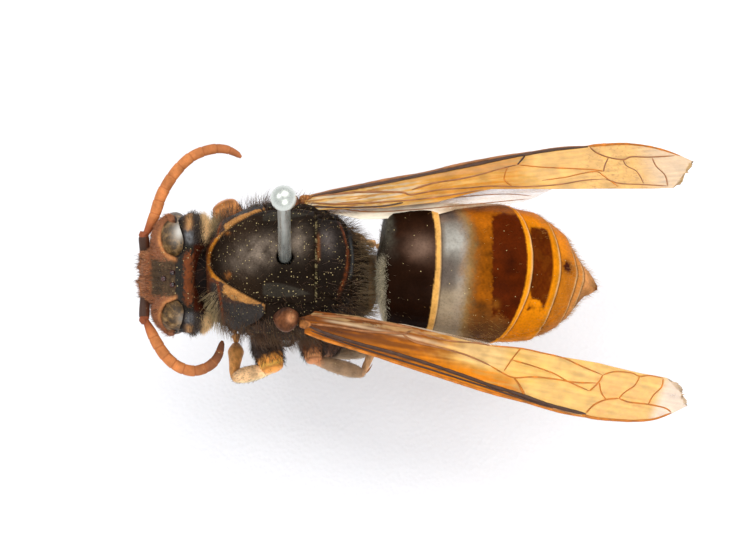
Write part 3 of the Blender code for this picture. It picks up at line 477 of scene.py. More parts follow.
def thorax_tone(points, hole):
    """The colours and the roughness of the thorax at each point."""
    x, y, z, behind, above, side, plate_side = thorax_zones(points)
    drift = wander(points, 0.7, 11)
    fine = wander(points, 0.18, 12)
    tone = np.broadcast_to(np.array(BLACK_SHELL), points.shape).copy()
    lower = 1 - soft(z, 0.6, 1.7)
    tone = laid(tone, BROWN_SHELL, lower * soft(behind, 0.0, 0.2) * (0.6 + 0.4 * drift))
    tone = laid(tone, RED_BROWN, lower * ridge(z + 0.9, 0.5) * soft(drift, -0.1, 0.9) * 0.6)
    # Painted sheen: a broad grey highlight across the top of the middle shell, partly also the grey down in its pits.
    sheen = above * soft(behind, 0.0, 0.6) * ridge(y + 0.05 - 0.22 * (x + 6.8), 0.66)
    sheen *= ridge(x + 6.75, 1.05) + 0.75 * ridge(x + 4.95, 0.42)
    tone = tone * (1 + 1.3 * ridge(x + 7.5, 0.9) * above)[..., None]
    tone = laid(tone, SHEEN_GREY, np.clip(sheen * (0.85 + 0.3 * drift + 0.12 * fine), 0, 1))
    share = np.clip((x + 6.55) / 2.15, 0.0, 1.0)
    leaf = 0.65 * np.sqrt(share + 0.12) * (1 - share)
    lobe = above * soft(leaf - np.abs(np.abs(y) - 1.63 - 0.18 * share), 0.0, 0.07) * soft(x, -6.6, -6.5)
    tone = laid(tone, (0.03, 0.025, 0.018), lobe * 0.8)
    shield = above * soft(x, SCUTUM_SUTURE, SCUTUM_SUTURE + 0.1) * fade(x, SCUTELLUM_BACK - 0.1, SCUTELLUM_BACK)
    tone = painted(tone, (
        ((0.014, 0.01, 0.008), shield * fade(plate_side, -0.1, 0.0) * ridge(y - 0.4, 1.2)),
        # painted highlight: a grey satin shine on the scutellum
        ((0.105, 0.085, 0.075), shield * ridge(y - 0.55, 0.55) * ridge(x + 3.75, 0.28) * (0.8 + 0.2 * fine)),
        ((0.22, 0.075, 0.02), above * ridge(x - SCUTUM_SUTURE - 0.11, 0.07) * soft(0.8 - np.abs(y - 0.2), 0, 0.5)
         * 0.6),
    ))
    grit = above * ridge(x - SCUTUM_SUTURE, 0.035) * soft(fine, 0.15, 0.45) * fade(np.abs(y), 1.9, 2.1)
    tone = laid(tone, (0.34, 0.27, 0.13), grit * 0.9)
    lip = x - SCUTELLUM_BACK + 0.15 * y * y
    tone = laid(tone, (0.2, 0.05, 0.014), above * ridge(lip + 0.08, 0.055) * (0.55 + 0.35 * fine)
                * fade(np.abs(y), 1.3, 1.8))
    crescent = ridge(lip - 0.14, 0.055) * fade(np.abs(y - 0.1), 0.7, 1.1)
    tone = laid(tone, (0.055, 0.06, 0.06), crescent * 0.8)
    rear = soft(x, -2.72, -2.55)
    tone = laid(tone, (0.02, 0.012, 0.007), rear * (0.7 + 0.3 * drift))
    tone = laid(tone, TAN, soft(x, -2.02, -1.88) * (0.75 + 0.25 * fine) * soft(z, -1.9, -0.6))

    plate = soft(-behind, 0.0, 0.05)
    side_plate = plate * fade(z, 2.3, 2.7)
    tone = laid(tone, (0.03, 0.025, 0.022), side_plate)
    tone = laid(tone, (0.06, 0.048, 0.036), side_plate * soft(-z, 0.2, 1.4) * 0.6)
    front = 1 - soft(np.abs(y), 0.8, 1.15)
    width = np.where(y > 0, 0.3, 0.34) * soft(np.abs(y), 1.05, 1.62) * (1 - 0.9 * soft(np.abs(y), 1.85, 2.35)) + 0.05
    width += 0.15 * fade(np.abs(y), 0.9, 1.3)
    band = soft(width + 0.03 * fine + behind, 0.0, 0.06) * plate * soft(z, 0.6, 1.2) * fade(np.abs(y), 2.2, 2.4)
    tone = laid(tone, TAN, band * (0.9 + 0.1 * drift))
    tone = laid(tone, DEEP_AMBER, band * front)
    rim = ridge(behind + width + 0.05, 0.06) * plate * soft(z, 0.4, 1.0)
    tone = laid(tone, RED_BROWN, rim * (0.25 + 0.55 * front) * fade(np.abs(y), 1.9, 2.1))
    crack = (ridge(x + 8.5 - 0.2 * (np.abs(y) - 1.2) + 0.02 * fine, 0.05) * soft(np.abs(y), 1.0, 1.15)
             * fade(np.abs(y), 2.1, 2.5))
    tone = laid(tone, (0.18, 0.04, 0.01), crack * plate * (1 - band) * 0.85)
    neck = 1 - soft(x, -9.1, -8.7)
    tone = laid(tone, (0.1, 0.028, 0.01), neck)
    for spot_x, spot_y, size in ((-8.08, 1.02, 0.1), (-8.05, -0.92, 0.12)):
        spot = ridge(np.hypot(x - spot_x, y - spot_y) + 0.05 * fine, size)
        tone = laid(tone, (0.26, 0.09, 0.018), above * spot * soft(behind, 0.0, 0.1) * 0.65)
    gloss = 0.46 - 0.1 * sheen + 0.06 * drift + 0.08 * rear
    gloss = gloss - 0.2 * band * front + 0.14 * band * (1 - front) + 0.05 * lower
    # Painted shade deep in the pin's sunken hole.
    dark = 1 - soft(hole, -0.02, 0.1)
    tone = laid(tone, (0.006, 0.003, 0.002), dark)
    return np.clip(tone, 0.001, 1.0), np.clip(gloss, 0.12, 0.85)


thorax_finish = shell_material("thorax_shell", 13000.0, 0.85, 0.35, 2.6, 0.000014, specular=0.035)
thorax_points, hole_reach = thorax_surface(THORAX_ROWS, THORAX_COLUMNS)
thorax_colours, thorax_gloss = thorax_tone(thorax_points, hole_reach)
thorax = skin_from("thorax_skin", [(thorax_points, thorax_colours, thorax_gloss)], thorax_finish)
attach(thorax, "root")
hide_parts("pronotum", "mesothorax", "scutellum", "propodeum")


def hair_material(name):
    """Fine chitin hairs, coloured from their roots and paler where they thin."""
    material, tree, shader, here = new_material(name)
    tone = add_node(tree, "ShaderNodeAttribute", attribute_name="tone")
    streak = add_node(tree, "ShaderNodeTexNoise", {"Vector": here, "Scale": 2600.0, "Detail": 2.0})
    swing = add_node(tree, "ShaderNodeVectorMath", {0: tone.outputs["Color"]}, operation="SCALE")
    tree.links.new(calculate(tree, "MULTIPLY_ADD", streak.outputs["Fac"], 0.7, 0.65), swing.inputs["Scale"])
    tree.links.new(swing.outputs[0], shader.inputs["Base Color"])
    shader.inputs["Roughness"].default_value = 0.42
    shader.inputs["Specular IOR Level"].default_value = 0.15
    shader.inputs["Sheen Weight"].default_value = 0.08
    return material


HAIR_SIDES = 3
HAIR_LEVELS = 3
HAIR_POINTS = HAIR_SIDES * HAIR_LEVELS + 1
HAIR_PATCH = 0.003


def coat_from(name, points, density, length, flow, rise, colour, count, width, seed, material, bend=0.35, stray=0.3):
    """Thousands of three-sided tapering hairs rooted over a grid of rings in mm, joined into one mesh.

    Density, length, rise (0 lies flat, 1 stands up), flow and colour are given over the grid.
    """
    source = np.random.default_rng(seed)
    rows, columns, _ = points.shape
    normal = grid_normals(points)
    around = np.roll(points, -1, axis=1) - points
    step = np.diff(points, axis=0)
    area = np.linalg.norm(np.cross(around[:-1], step), axis=-1) * np.maximum(density[:-1], 0.0)
    picks = source.choice(area.size, size=count, p=(area / area.sum()).ravel())
    row, column = np.divmod(picks, columns)
    down, across = source.random(count), source.random(count)

    def read(values):
        values = np.broadcast_to(values, points.shape[:2] + values.shape[2:])
        tail = (slice(None),) + (None,) * (values.ndim - 2)
        near = values[row, column] * (1 - across)[tail] + values[row, (column + 1) % columns] * across[tail]
        far = values[row + 1, column] * (1 - across)[tail] + values[row + 1, (column + 1) % columns] * across[tail]
        return near * (1 - down)[tail] + far * down[tail]

    root, out, lie = read(points), unit(read(normal)), read(flow)
    lie = unit(lie - out * (lie * out).sum(-1, keepdims=True))
    side = np.cross(out, lie)
    reach = (read(length) * source.uniform(0.55, 1.15, count))[:, None]
    angle = (np.clip(read(rise) + source.normal(0, 0.12, count), 0.03, 1.0) * math.pi / 2)[:, None]
    heading = unit(lie * np.cos(angle) + out * np.sin(angle) + side * source.normal(0, stray, (count, 1)))
    turn = bend * (lie - 0.25 * out) + side * source.normal(0, stray * 0.5, (count, 1))
    spine = [root - out * 0.02]
    u = unit(np.cross(heading, side + 0.01))
    v = np.cross(heading, u)
    for _ in range(HAIR_LEVELS):
        spine.append(spine[-1] + heading * reach / HAIR_LEVELS)
        heading = unit(heading + turn * 0.5)
    thick = width * source.uniform(0.75, 1.2, (count, 1))
    verts = []
    for level, share in enumerate((1.0, 0.85, 0.55)):
        for corner in range(HAIR_SIDES):
            turned = 2 * math.pi * corner / HAIR_SIDES
            verts.append(spine[level] + (u * math.cos(turned) + v * math.sin(turned)) * thick * share)
    verts.append(spine[HAIR_LEVELS])
    verts = np.stack(verts, 1)

    first = np.arange(count)[:, None, None] * HAIR_POINTS
    quads = [(level * 3 + i, level * 3 + (i + 1) % 3, level * 3 + 3 + (i + 1) % 3, level * 3 + 3 + i)
             for level in range(2) for i in range(3)]
    tips = [(6 + i, 6 + (i + 1) % 3, 9) for i in range(3)]
    faces = (first + np.array(quads)).reshape(-1, 4).tolist() + (first + np.array(tips)).reshape(-1, 3).tolist()
    mesh = bpy.data.meshes.new(name)
    mesh.from_pydata(in_metres(verts.reshape(-1, 3)), [], faces)
    tint = read(colour) * source.uniform(0.7, 1.3, (count, 1))
    shades = np.array([0.8] * 3 + [1.0] * 3 + [1.1] * 3 + [1.15])
    colour_layer(mesh, "tone", np.clip(tint[:, None, :] * shades[None, :, None], 0, 1).reshape(-1, 3))

    place = np.stack([(column + across) / columns, (row + down) / rows], -1) * (1 - HAIR_PATCH)
    spots = np.array([(i / 2, level / 3) for level in range(3) for i in range(3)] + [(0.5, 1.0)]) * HAIR_PATCH
    spread = (place[:, None, :] + spots[None]).reshape(-1, 2)
    corners = np.empty(len(mesh.loops), dtype=np.int32)
    mesh.loops.foreach_get("vertex_index", corners)
    mesh.uv_layers.new(name="OFBake").data.foreach_set("uv", spread[corners].ravel())
    mesh.materials.append(material)
    mesh.shade_smooth()
    return in_scene(name, mesh)


# The thorax carries two coats: upright brown hairs up to a millimetre long round its sides, collar and rear, and
# a thin nap of short pale ones that lies backwards over the plates and, with the painted sheen on the shell below,
# gives them their grey bloom.
thorax_hair = hair_material("thorax_hair")
x, y, z = (thorax_points[..., i] for i in range(3))
behind, above = thorax_zones(thorax_points)[3:5]
clear = soft(hole_reach, 0.05, 0.2)
outer = soft(2.6 - z, 0.3, 1.4)
rear = soft(x, -3.0, -2.3)
collar = soft(-behind, 0.1, 0.4)
patchy = 0.75 + 0.5 * wander(thorax_points, 0.9, 41)
backwards = plain(thorax_points, (1.0, 0.0, -0.15))
middle = fade(x, -8.9, -8.3) * fade(np.abs(y), 0.8, 1.5)
density = clear * np.clip(patchy, 0.1, 2) * (0.16 + 1.0 * outer + 0.5 * rear + 0.5 * collar) * (1 - 0.9 * middle)
bare = soft(-behind, 0.3, 0.55) * fade(np.abs(y), 2.35, 2.7) * soft(x, -8.15, -7.85)
density = density * (1 - 0.88 * bare)
length = 0.36 + 0.36 * outer + 0.16 * rear + 0.1 * soft(z, 2.2, 2.9)
brown = plain(thorax_points, (0.085, 0.04, 0.018))
brown = painted(brown, (
    ((0.17, 0.11, 0.05), np.clip(rear * 0.8 + 0.35 * soft(wander(thorax_points, 0.8, 42), 0.1, 0.6), 0, 1)),
    ((0.46, 0.34, 0.17), fade(x, -8.7, -8.2) * soft(np.abs(y), 0.9, 1.5) * 0.9),
    ((0.42, 0.31, 0.16), soft(x, -2.3, -1.9) * soft(-y, 0.2, 1.0) * 0.85),
))
upright = coat_from("thorax_upright_hair", thorax_points, density, length, backwards, 0.8 - 0.2 * rear, brown,
                    7000, 0.0074, 51, thorax_hair)
nap_colour = thorax_colours * 1.2 + 0.008
nap_colour = laid(nap_colour, (0.2, 0.13, 0.055), np.clip(0.4 * rear + 0.3 * collar, 0, 1))
nap_density = clear * (0.5 + 0.3 * rear + 0.2 * patchy) * (1 - 0.6 * bare)
nap_density = nap_density * (1 - 0.5 * above * soft(x, -6.4, -5.6) * (1 - rear))
nap = coat_from("thorax_nap", thorax_points, nap_density, 0.1 + 0.05 * outer + 0.06 * rear, backwards, 0.22 + 0 * z,
                nap_colour, 9500, 0.005, 52, thorax_hair)
for coat in (upright, nap):
    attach(coat, "root")


# The tegulae: a pitted red-brown scale over the root of each forewing, with the small brown hinge plates that the
# wing turns on tucked in behind it. The neck is a dark sleeve between the head and the collar; its near-black is
# partly painted shade in the gap between them.
def limb_rings(path, radii, sides=20, flatten=None, steps=6, face=(0.0, 0.0, 1.0)):
    """Rings in mm along a smooth path, each with its radius; flatten gives how thin each is across its face."""
    path = np.array(path, dtype=float)
    table = np.hstack([np.arange(len(path))[:, None], path, np.array(radii, dtype=float)[:, None]])
    if flatten is None:
        flatten = [1.0] * len(path)
    table = np.hstack([table, np.array(flatten, dtype=float)[:, None]])
    when = np.linspace(0, len(path) - 1, (len(path) - 1) * steps + 1)
    read = smooth_station(table, when)
    middle, radius, thin = read[:, :3], np.maximum(read[:, 3], 0.004), read[:, 4]
    ahead = unit(np.gradient(middle, axis=0))
    up = unit(np.array(face) - ahead * (ahead @ np.array(face))[:, None])
    side = np.cross(ahead, up)
    turn = 2 * math.pi * np.arange(sides) / sides
    rings = middle[:, None] + (side[:, None] * np.cos(turn)[None, :, None]
                               + up[:, None] * np.sin(turn)[None, :, None]
                               * thin[:, None, None]) * radius[:, None, None]
    return rings, when


tegula_finish = shell_material("tegula_shell", 9000.0, 0.5, 0.85, 0.9, 0.000013, specular=0.07)
for hand, sign in (("right", 1), ("left", -1)):
    path = [(px, sign * py, pz) for px, py, pz in
            ((-6.1, 2.52, 1.62), (-5.98, 2.55, 1.66), (-5.72, 2.6, 1.74), (-5.42, 2.62, 1.78), (-5.14, 2.6, 1.72),
             (-5.02, 2.58, 1.66))]
    rings, when = limb_rings(path, (0.1, 0.36, 0.6, 0.62, 0.42, 0.12), sides=44, steps=14, flatten=[0.62] * 6,
                             face=(0.0, sign * 0.5, 0.86))
    drift, fine = wander(rings, 0.7, 41), wander(rings, 0.14, 42)
    outer = rings[..., 1] * sign - 2.6
    tone = plain(rings, (0.13, 0.046, 0.018))
    tone = painted(tone, (
        ((0.048, 0.02, 0.011), soft(-outer - 0.4 * (rings[..., 0] + 5.6) + 0.12 * drift, 0.0, 0.25) * 0.9),
        ((0.05, 0.018, 0.01), soft(np.abs(rings[..., 0] + 5.55 + 0.05 * fine), 0.4, 0.56)),
        # painted highlight: a pale pinkish spot on the dome of each scale
        ((0.38, 0.16, 0.068), fade(np.hypot(rings[..., 0] + 5.34, outer - 0.12), 0.06, 0.3) * 0.8),
    ))
    forms = [(rings, tone * (1 + 0.18 * fine)[..., None], 0.3 + 0.08 * drift)]
    for start, end, girth, colour in (((-5.12, 2.35, 1.42), (-4.55, 2.62, 1.62), 0.3, (0.12, 0.04, 0.014)),
                                      ((-5.0, 2.78, 1.52), (-4.3, 2.82, 1.58), 0.24, (0.3, 0.11, 0.03)),
                                      ((-4.86, 2.15, 1.3), (-4.2, 2.4, 1.46), 0.2, (0.4, 0.2, 0.07))):
        start, end = (np.array((p[0], sign * p[1], p[2])) for p in (start, end))
        plate, when = limb_rings([start + (end - start) * share for share in (0, 0.1, 0.4, 0.75, 1.0)],
                                 (0.06, girth * 0.8, girth, girth * 0.75, 0.05), sides=20, steps=6, flatten=[0.7] * 5)
        fine = wander(plate, 0.12, 43)
        forms.append((plate, np.array(colour) * (1 + 0.35 * fine[..., None]), 0.34 + 0 * fine))
    tegula = skin_from(f"tegula_{hand}_scale", forms, tegula_finish)
    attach(tegula, "root")
    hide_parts(f"tegula_{hand}")

# The sleeve's near-black is partly painted shade in the gap between the head and the collar.
rings, when = limb_rings(((-9.75, 0.0, -0.25), (-9.65, 0.0, -0.25), (-9.1, 0.0, -0.2), (-8.5, 0.0, -0.3),
                          (-8.2, 0.0, -0.3)),
                         (0.2, 1.2, 1.42, 1.6, 1.7), sides=60, steps=8)
fine = wander(rings, 0.2, 44)
neck = skin_from("neck_sleeve",
                 [(rings, np.array((0.008, 0.003, 0.0018)) * (1 + 0.5 * fine[..., None]), 0.55 + 0 * fine)],
                 tegula_finish)
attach(neck, "root")


# The abdomen: six thin, springy rings that telescope into each other, each rear edge lapping over the next ring's
# front. Dark red-brown in front, amber behind, with an ochre hem on each ring; a bloom of close grey down lies on the
# second. It is one skin, with a step at each lap, drawn out to the sting's sheath.
ABDOMEN_STATIONS = ((-1.62, 0.8, 0.1, 0.8, 0.0), (-1.38, 1.9, 0.25, 1.75, 0.04), (-1.21, 2.55, 0.25, 2.24, 0.09),
                    (-0.9, 2.77, 0.22, 2.44, 0.12), (0.2, 2.9, 0.15, 2.6, 0.12), (1.2, 2.98, 0.05, 2.68, 0.08),
                    (2.5, 3.04, -0.12, 2.72, 0.02), (3.8, 3.05, -0.3, 2.68, 0.0), (5.2, 2.8, -0.55, 2.42, 0.0),
                    (6.0, 2.36, -0.7, 2.06, 0.0), (6.6, 1.84, -0.85, 1.66, 0.0), (7.0, 1.24, -1.03, 1.22, -0.02),
                    (7.36, 0.7, -1.24, 0.84, -0.06), (7.65, 0.46, -1.42, 0.56, -0.12), (8.0, 0.1, -1.7, 0.14, -0.2))
HEMS = ((-1.3, 0.0), (1.17, 0.45), (5.15, 1.5), (6.35, 1.1), (7.11, 0.7), (7.4, 0.4), (8.0, 0.0))
HEM_WIDTHS = (0.215, 0.22, 0.16, 0.05, 0.04)
LAP_STEP = 0.032
ABDOMEN_COLUMNS = 320

RING_BLACK = (0.01, 0.0034, 0.0014)
RING_RED = (0.084, 0.012, 0.0008)
RING_AMBER = (0.205, 0.055, 0.0018)
RING_ORANGE = (0.66, 0.205, 0.003)
HEM_OCHRE = (0.72, 0.37, 0.09)
HEM_ORANGE = (0.76, 0.27, 0.008)
HEM_PALE = (0.72, 0.56, 0.34)
VELVET_GREY = (0.17, 0.15, 0.12)
VELVET_PALE = (0.4, 0.385, 0.34)


def abdomen_rows():
    """Places along the back in mm, close together at each lap, and how far each lies into its ring."""
    places, shares = [], []
    ends = [hem[0] for hem in HEMS]
    counts = (64, 84, 34, 22, 14, 30)
    for number, (front, rear, count) in enumerate(zip(ends, ends[1:], counts)):
        start = ABDOMEN_STATIONS[0][0] if number == 0 else front
        for step in range(count):
            share = step / count
            places.append(start + (rear - start) * (share ** 1.25 if number == 0 else share))
            shares.append(1.0 if number == 0 else share)
        if number < 5:
            places.extend((rear - 0.012, rear - 0.001))
            shares.extend((1.0, 0.75))
    places.append(ends[-1])
    shares.append(1.0)
    return np.array(places), np.array(shares)


def abdomen_surface(columns):
    """The abdomen's points in mm, and each one's place along the back."""
    middle, share = abdomen_rows()
    bow = np.interp(middle, [hem[0] for hem in HEMS], [hem[1] for hem in HEMS])
    angle = 2 * math.pi * np.arange(columns) / columns
    cosine, sine = np.cos(angle)[None, :], np.sin(angle)[None, :]
    x = middle[:, None] - bow[:, None] * (1.0 - sine)
    size = smooth_station(ABDOMEN_STATIONS, np.clip(x, -1.62, 8.0))
    scale = (1.0 - LAP_STEP * (1.0 - share))[:, None]
    y = size[..., 3] + size[..., 0] * scale * cosine
    z = size[..., 1] + size[..., 2] * scale * sine
    points = np.stack([x, y, z], -1)
    normal = grid_normals(points)
    height = 0.018 * wander(points, 1.8, 21) + 0.004 * wander(points, 0.3, 22)
    front = 1 - soft(x, -1.25, -0.9)
    height += 0.03 * front * ridge(x + 1.05, 0.12) * soft(z, -1.0, 0.8)
    height -= 0.03 * soft(x, 7.1, 7.3) * ridge(y - size[..., 3], 0.12) * soft(z - size[..., 1], 0.0, 0.3)
    crease = soft(-z, -0.2, 0.0) * fade(-z, 0.25, 0.45) * soft(x, -0.8, 0.2) * fade(x, 6.2, 6.8)
    height -= 0.05 * crease * ridge(z + 0.12 - 0.02 * x, 0.06)
    return points + normal * height[..., None], np.broadcast_to(middle[:, None], y.shape)


def velvet_curve(y):
    """How far the velvet's rear edge bends forward at each side, in mm."""
    return np.where(y > 0.6, 0.15, 0.03) * (y - 0.6) ** 2


def abdomen_tone(points, middle):
    """The colours and the roughness of the abdomen, from the place on the back and on the ring."""
    x, y, z = points[..., 0], points[..., 1], points[..., 2]
    drift = wander(points, 1.1, 31)
    fine = wander(points, 0.22, 32, octaves=2)
    above = soft(z, -0.9, 0.3)
    ends = [hem[0] for hem in HEMS]
    tone = np.broadcast_to(np.array(RING_BLACK), points.shape).copy()
    tone = painted(tone, (
        ((0.034, 0.0105, 0.0036), ridge(x - 0.1, 0.8) * ridge(y - 0.6, 1.1) * above * (0.7 + 0.3 * drift)),
        # painted sheen: a broad greyish-brown highlight on the middle of the first ring
        ((0.15, 0.09, 0.062), ridge(x - 0.35, 0.7) * ridge(y - 0.3, 0.55) * above * np.clip(0.85 + 0.25 * drift, 0, 1)),
        ((0.06, 0.026, 0.014), soft(x, 0.45, 1.0) * (0.35 + 0.15 * fine) * above * ridge(y - 0.4, 2.3)),
        ((0.085, 0.078, 0.058), fade(x + 0.1 * drift, -1.1, -0.62) * soft(y, -0.6, 1.6) * (0.7 + 0.2 * fine)),
        ((0.03, 0.024, 0.015), fade(x, -1.42, -1.2) * 0.8),
        ((0.34, 0.29, 0.19), fade(x + 0.04 * fine, -1.36, -1.16) * soft(-y, -0.2, 0.3) * soft(z, -1.0, 0.0) * 0.55),
    ))

    ring = soft(middle, ends[1] - 0.004, ends[1] + 0.004)
    amber = np.array(RING_AMBER) * (1.0 + 0.28 * drift + 0.12 * fine)[..., None]
    side_brown = soft(-y, 1.7, 3.0)
    amber = laid(amber, (0.095, 0.045, 0.016), side_brown * 0.8)
    # Painted light: the second ring's amber is lighter towards the right side (+y).
    amber = amber * (1 + 0.45 * soft(y, 0.6, 1.9))[..., None]
    amber = laid(amber, (0.15, 0.06, 0.016), soft(y, 2.2, 2.8) * 0.6)
    tone = tone + (amber - tone) * ring[..., None]
    bound = x + 0.05 * drift + 0.04 * fine + velvet_curve(y)
    tone = laid(tone, (0.25, 0.16, 0.06), ring * above * ridge(bound - 2.38, 0.3) * 0.75)
    velvet = ring * fade(bound, 1.8, 2.55) * above
    tone = laid(tone, VELVET_GREY, velvet * (0.94 - 0.45 * soft(y, 1.4, 2.1)))
    # Painted sheen and shade on the velvet: shine lays a pale grey highlight across its middle, partly its own whitish
    # down, and dim lays painted shade over parts of it.
    shine = (velvet * ridge(y - 0.62, 0.7) * soft(x, 1.25, 1.45)
             + velvet * soft(-y, 0.6, 1.2) * ridge(x - 2.05, 0.32) * 0.55)
    shine = np.clip(shine * (0.85 + 0.25 * drift) + velvet * ridge(x - 2.3, 0.25) * 0.25, 0, 1)
    tone = laid(tone, VELVET_PALE, shine)
    tone = laid(tone, (0.43, 0.31, 0.175), velvet * soft(-y, 0.9, 1.7) * (0.5 + 0.3 * soft(x, 1.8, 2.4)))
    dim = velvet * (soft(y, 1.45, 1.9) + soft(-y, -0.25, 0.5) * fade(-y, 1.2, 1.8) * 0.9) * fade(x, 1.55, 2.1) * 0.85
    tone = laid(tone, (0.085, 0.062, 0.05), np.clip(dim, 0, 1))
    edge = 3.39 + 0.035 * fine
    patch = soft(x, edge - 0.06, edge + 0.06) * fade(middle, 4.86, 4.95)
    reach = 1 - soft(np.abs(y + 0.15) + 0.12 * drift + 0.05 * fine, 2.15, 2.42)
    low_side = soft(-y, 1.6, 2.2) * soft(x, 3.7, 4.4) * fade(middle, 4.86, 4.95) * above
    patch = np.clip(patch * reach + low_side * 0.85, 0, 1) * ring * above
    tone = painted(tone, (
        (RING_RED, patch),
        ((0.032, 0.005, 0.0008), patch * (0.45 + 0.35 * drift) * ridge(y + 1.0, 1.6)),
        ((0.2, 0.065, 0.006), ridge(np.hypot(x - 3.55, y + 2.0), 0.16) * ring * above * 0.8),
    ))

    # Painted light: lit makes the fourth and fifth rings lighter towards the right side (+y), as much as glow says.
    for number, gain, glow in ((2, 1.0, 0.0), (3, 0.72, 0.42), (4, 1.1, 0.1), (5, 1.1, 0.0)):
        lit = (1 + glow * soft(y, -0.4, 1.0))[..., None]
        tone = laid(tone, np.array(RING_ORANGE) * gain * lit + (0, 0, 0.006 * (number - 2)),
                    soft(middle, ends[number] - 0.004, ends[number] + 0.004))
    third = soft(middle, ends[2], ends[2] + 0.01) * fade(middle, 5.98, 6.1)
    blot = soft(1.9 - np.abs(y + 0.12) + 0.2 * drift + 0.03 * fine, 0.0, 0.25) * third
    blot *= soft(middle - ends[2] + 0.1 - 0.25 * soft(np.abs(y), 1.0, 1.8) + 0.02 * fine, 0.0, 0.12) * above
    tone = laid(tone, (0.082, 0.013, 0.0012), blot * (0.985 + 0.015 * fine))
    tone = laid(tone, (0.14, 0.032, 0.002), blot * soft(drift, 0.1, 0.7) * 0.5)
    spot = ridge((x - 6.66 + 0.05 * fine) / 0.85, 0.24) * ridge(y - 0.05 + 0.05 * drift, 0.3) * above
    tone = painted(tone, (
        ((0.05, 0.009, 0.003), np.clip(spot * 1.4, 0, 1) * soft(middle, 6.36, 6.4) * fade(middle, 6.92, 7.02)),
        ((0.62, 0.25, 0.055), soft(middle, 7.11, 7.13) * 0.7),
        ((0.78, 0.35, 0.12), soft(middle, 7.4, 7.44) * (0.85 + 0.15 * fine)),
        ((0.14, 0.045, 0.014), soft(middle, 7.82, 7.98) + soft(-y - 0.14, 0.25, 0.6) * soft(middle, 7.42, 7.5) * 0.5),
    ))
    under = 1 - soft(z, -1.4, -0.4)
    tone = laid(tone, (0.15, 0.052, 0.01), under * soft(middle, ends[1], 1.4) * (0.5 + 0.25 * drift))

    gloss = 0.38 + 0.05 * drift + 0.22 * velvet + 0.05 * patch - 0.03 * ring
    for number, width in enumerate(HEM_WIDTHS, start=1):
        away = ends[number] - middle
        flare = 0.4 if number == 1 else 0.0
        breadth = width * (1 + flare * soft(np.abs(y - 0.2), 0.6, 2.2))
        hem = soft(breadth - away + 0.012 * fine, -0.03, 0.03) * soft(away, -0.002, 0.002)
        colour = HEM_OCHRE if number == 1 else np.array(HEM_ORANGE) * (1.0 if number == 2 else 0.72)
        tone = laid(tone, colour, hem * (0.95 + 0.05 * drift))
        brink = ridge(away - 0.01, 0.035) * soft(away, -0.004, 0.0)
        tone = laid(tone, HEM_PALE, brink * (0.45 if number > 1 else 0.25))
        shade = ridge(away + 0.02, 0.045) * soft(-away, 0.0, 0.004)
        tone = laid(tone, tone[..., 0:3].mean(axis=(0, 1)) * 0.1, shade * 0.75)
        gloss = gloss + 0.06 * hem
    return np.clip(tone, 0.001, 1.0), np.clip(gloss, 0.15, 0.85)


abdomen_finish = shell_material("abdomen_shell", 9500.0, 0.38, 0.28, 0.25, 0.000008, specular=0.012)
abdomen_points, abdomen_middle = abdomen_surface(ABDOMEN_COLUMNS)
abdomen_colours, abdomen_gloss = abdomen_tone(abdomen_points, abdomen_middle)
abdomen = skin_from("abdomen_skin", [(abdomen_points, abdomen_colours, abdomen_gloss)], abdomen_finish)
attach(abdomen, "root")
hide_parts("gaster_1", "gaster_2", "gaster_3", "gaster_4", "gaster_5")


# The abdomen's down: a close pale velvet on the front of the second ring, a cream fringe round the front of the
# first, and fine amber hairs that lie backwards along the sides and stand off the last rings.
abdomen_hair = hair_material("abdomen_hair")
x, y, z = (abdomen_points[..., i] for i in range(3))
above = soft(z, -0.9, 0.3)
second = soft(abdomen_middle, 1.17, 1.19)
velvet = second * fade(x + velvet_curve(y), 2.0, 2.55) * above
backwards = plain(abdomen_points, (1.0, 0.0, 0.0))
velvet_colour = abdomen_colours * 1.15 + 0.02
down = coat_from("abdomen_velvet", abdomen_points, velvet * (1 - 0.5 * soft(x, 1.9, 2.4)), 0.085 + 0 * x, backwards,
                 0.2 + 0 * x, velvet_colour, 6500, 0.0045, 81, abdomen_hair, stray=0.2)
flank = 0.5 * soft(np.abs(y), 2.2, 2.8) * soft(x, 1.6, 2.4) + 0.8 * soft(x, 5.2, 5.5) * soft(np.abs(y), 1.1, 1.8)
tail = soft(x, 6.4, 6.9)
fringe = fade(x, -1.3, -1.1) * above * (0.15 + soft(-y, -0.4, 0.2))
light = plain(abdomen_points, (0.44, 0.22, 0.05))
light = painted(light, (
    ((0.62, 0.52, 0.36), np.clip(fringe, 0, 1)),
    ((0.13, 0.085, 0.055), 1 - soft(x, -0.9, 1.1)),
    ((0.74, 0.65, 0.46), np.clip(fade(x, -1.1, -0.9) * soft(-y, -0.4, 0.2), 0, 1)),
))
hairs = coat_from("abdomen_hairs", abdomen_points, 0.02 + flank + 0.7 * tail + 4.0 * fringe,
                  0.24 + 0.1 * tail + 0.06 * fringe + 0.05 * flank, backwards, 0.34 + 0.25 * tail + 0.2 * fringe, light,
                  5400, 0.004, 82, abdomen_hair, stray=0.35)
for coat in (down, hairs):
    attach(coat, "root")


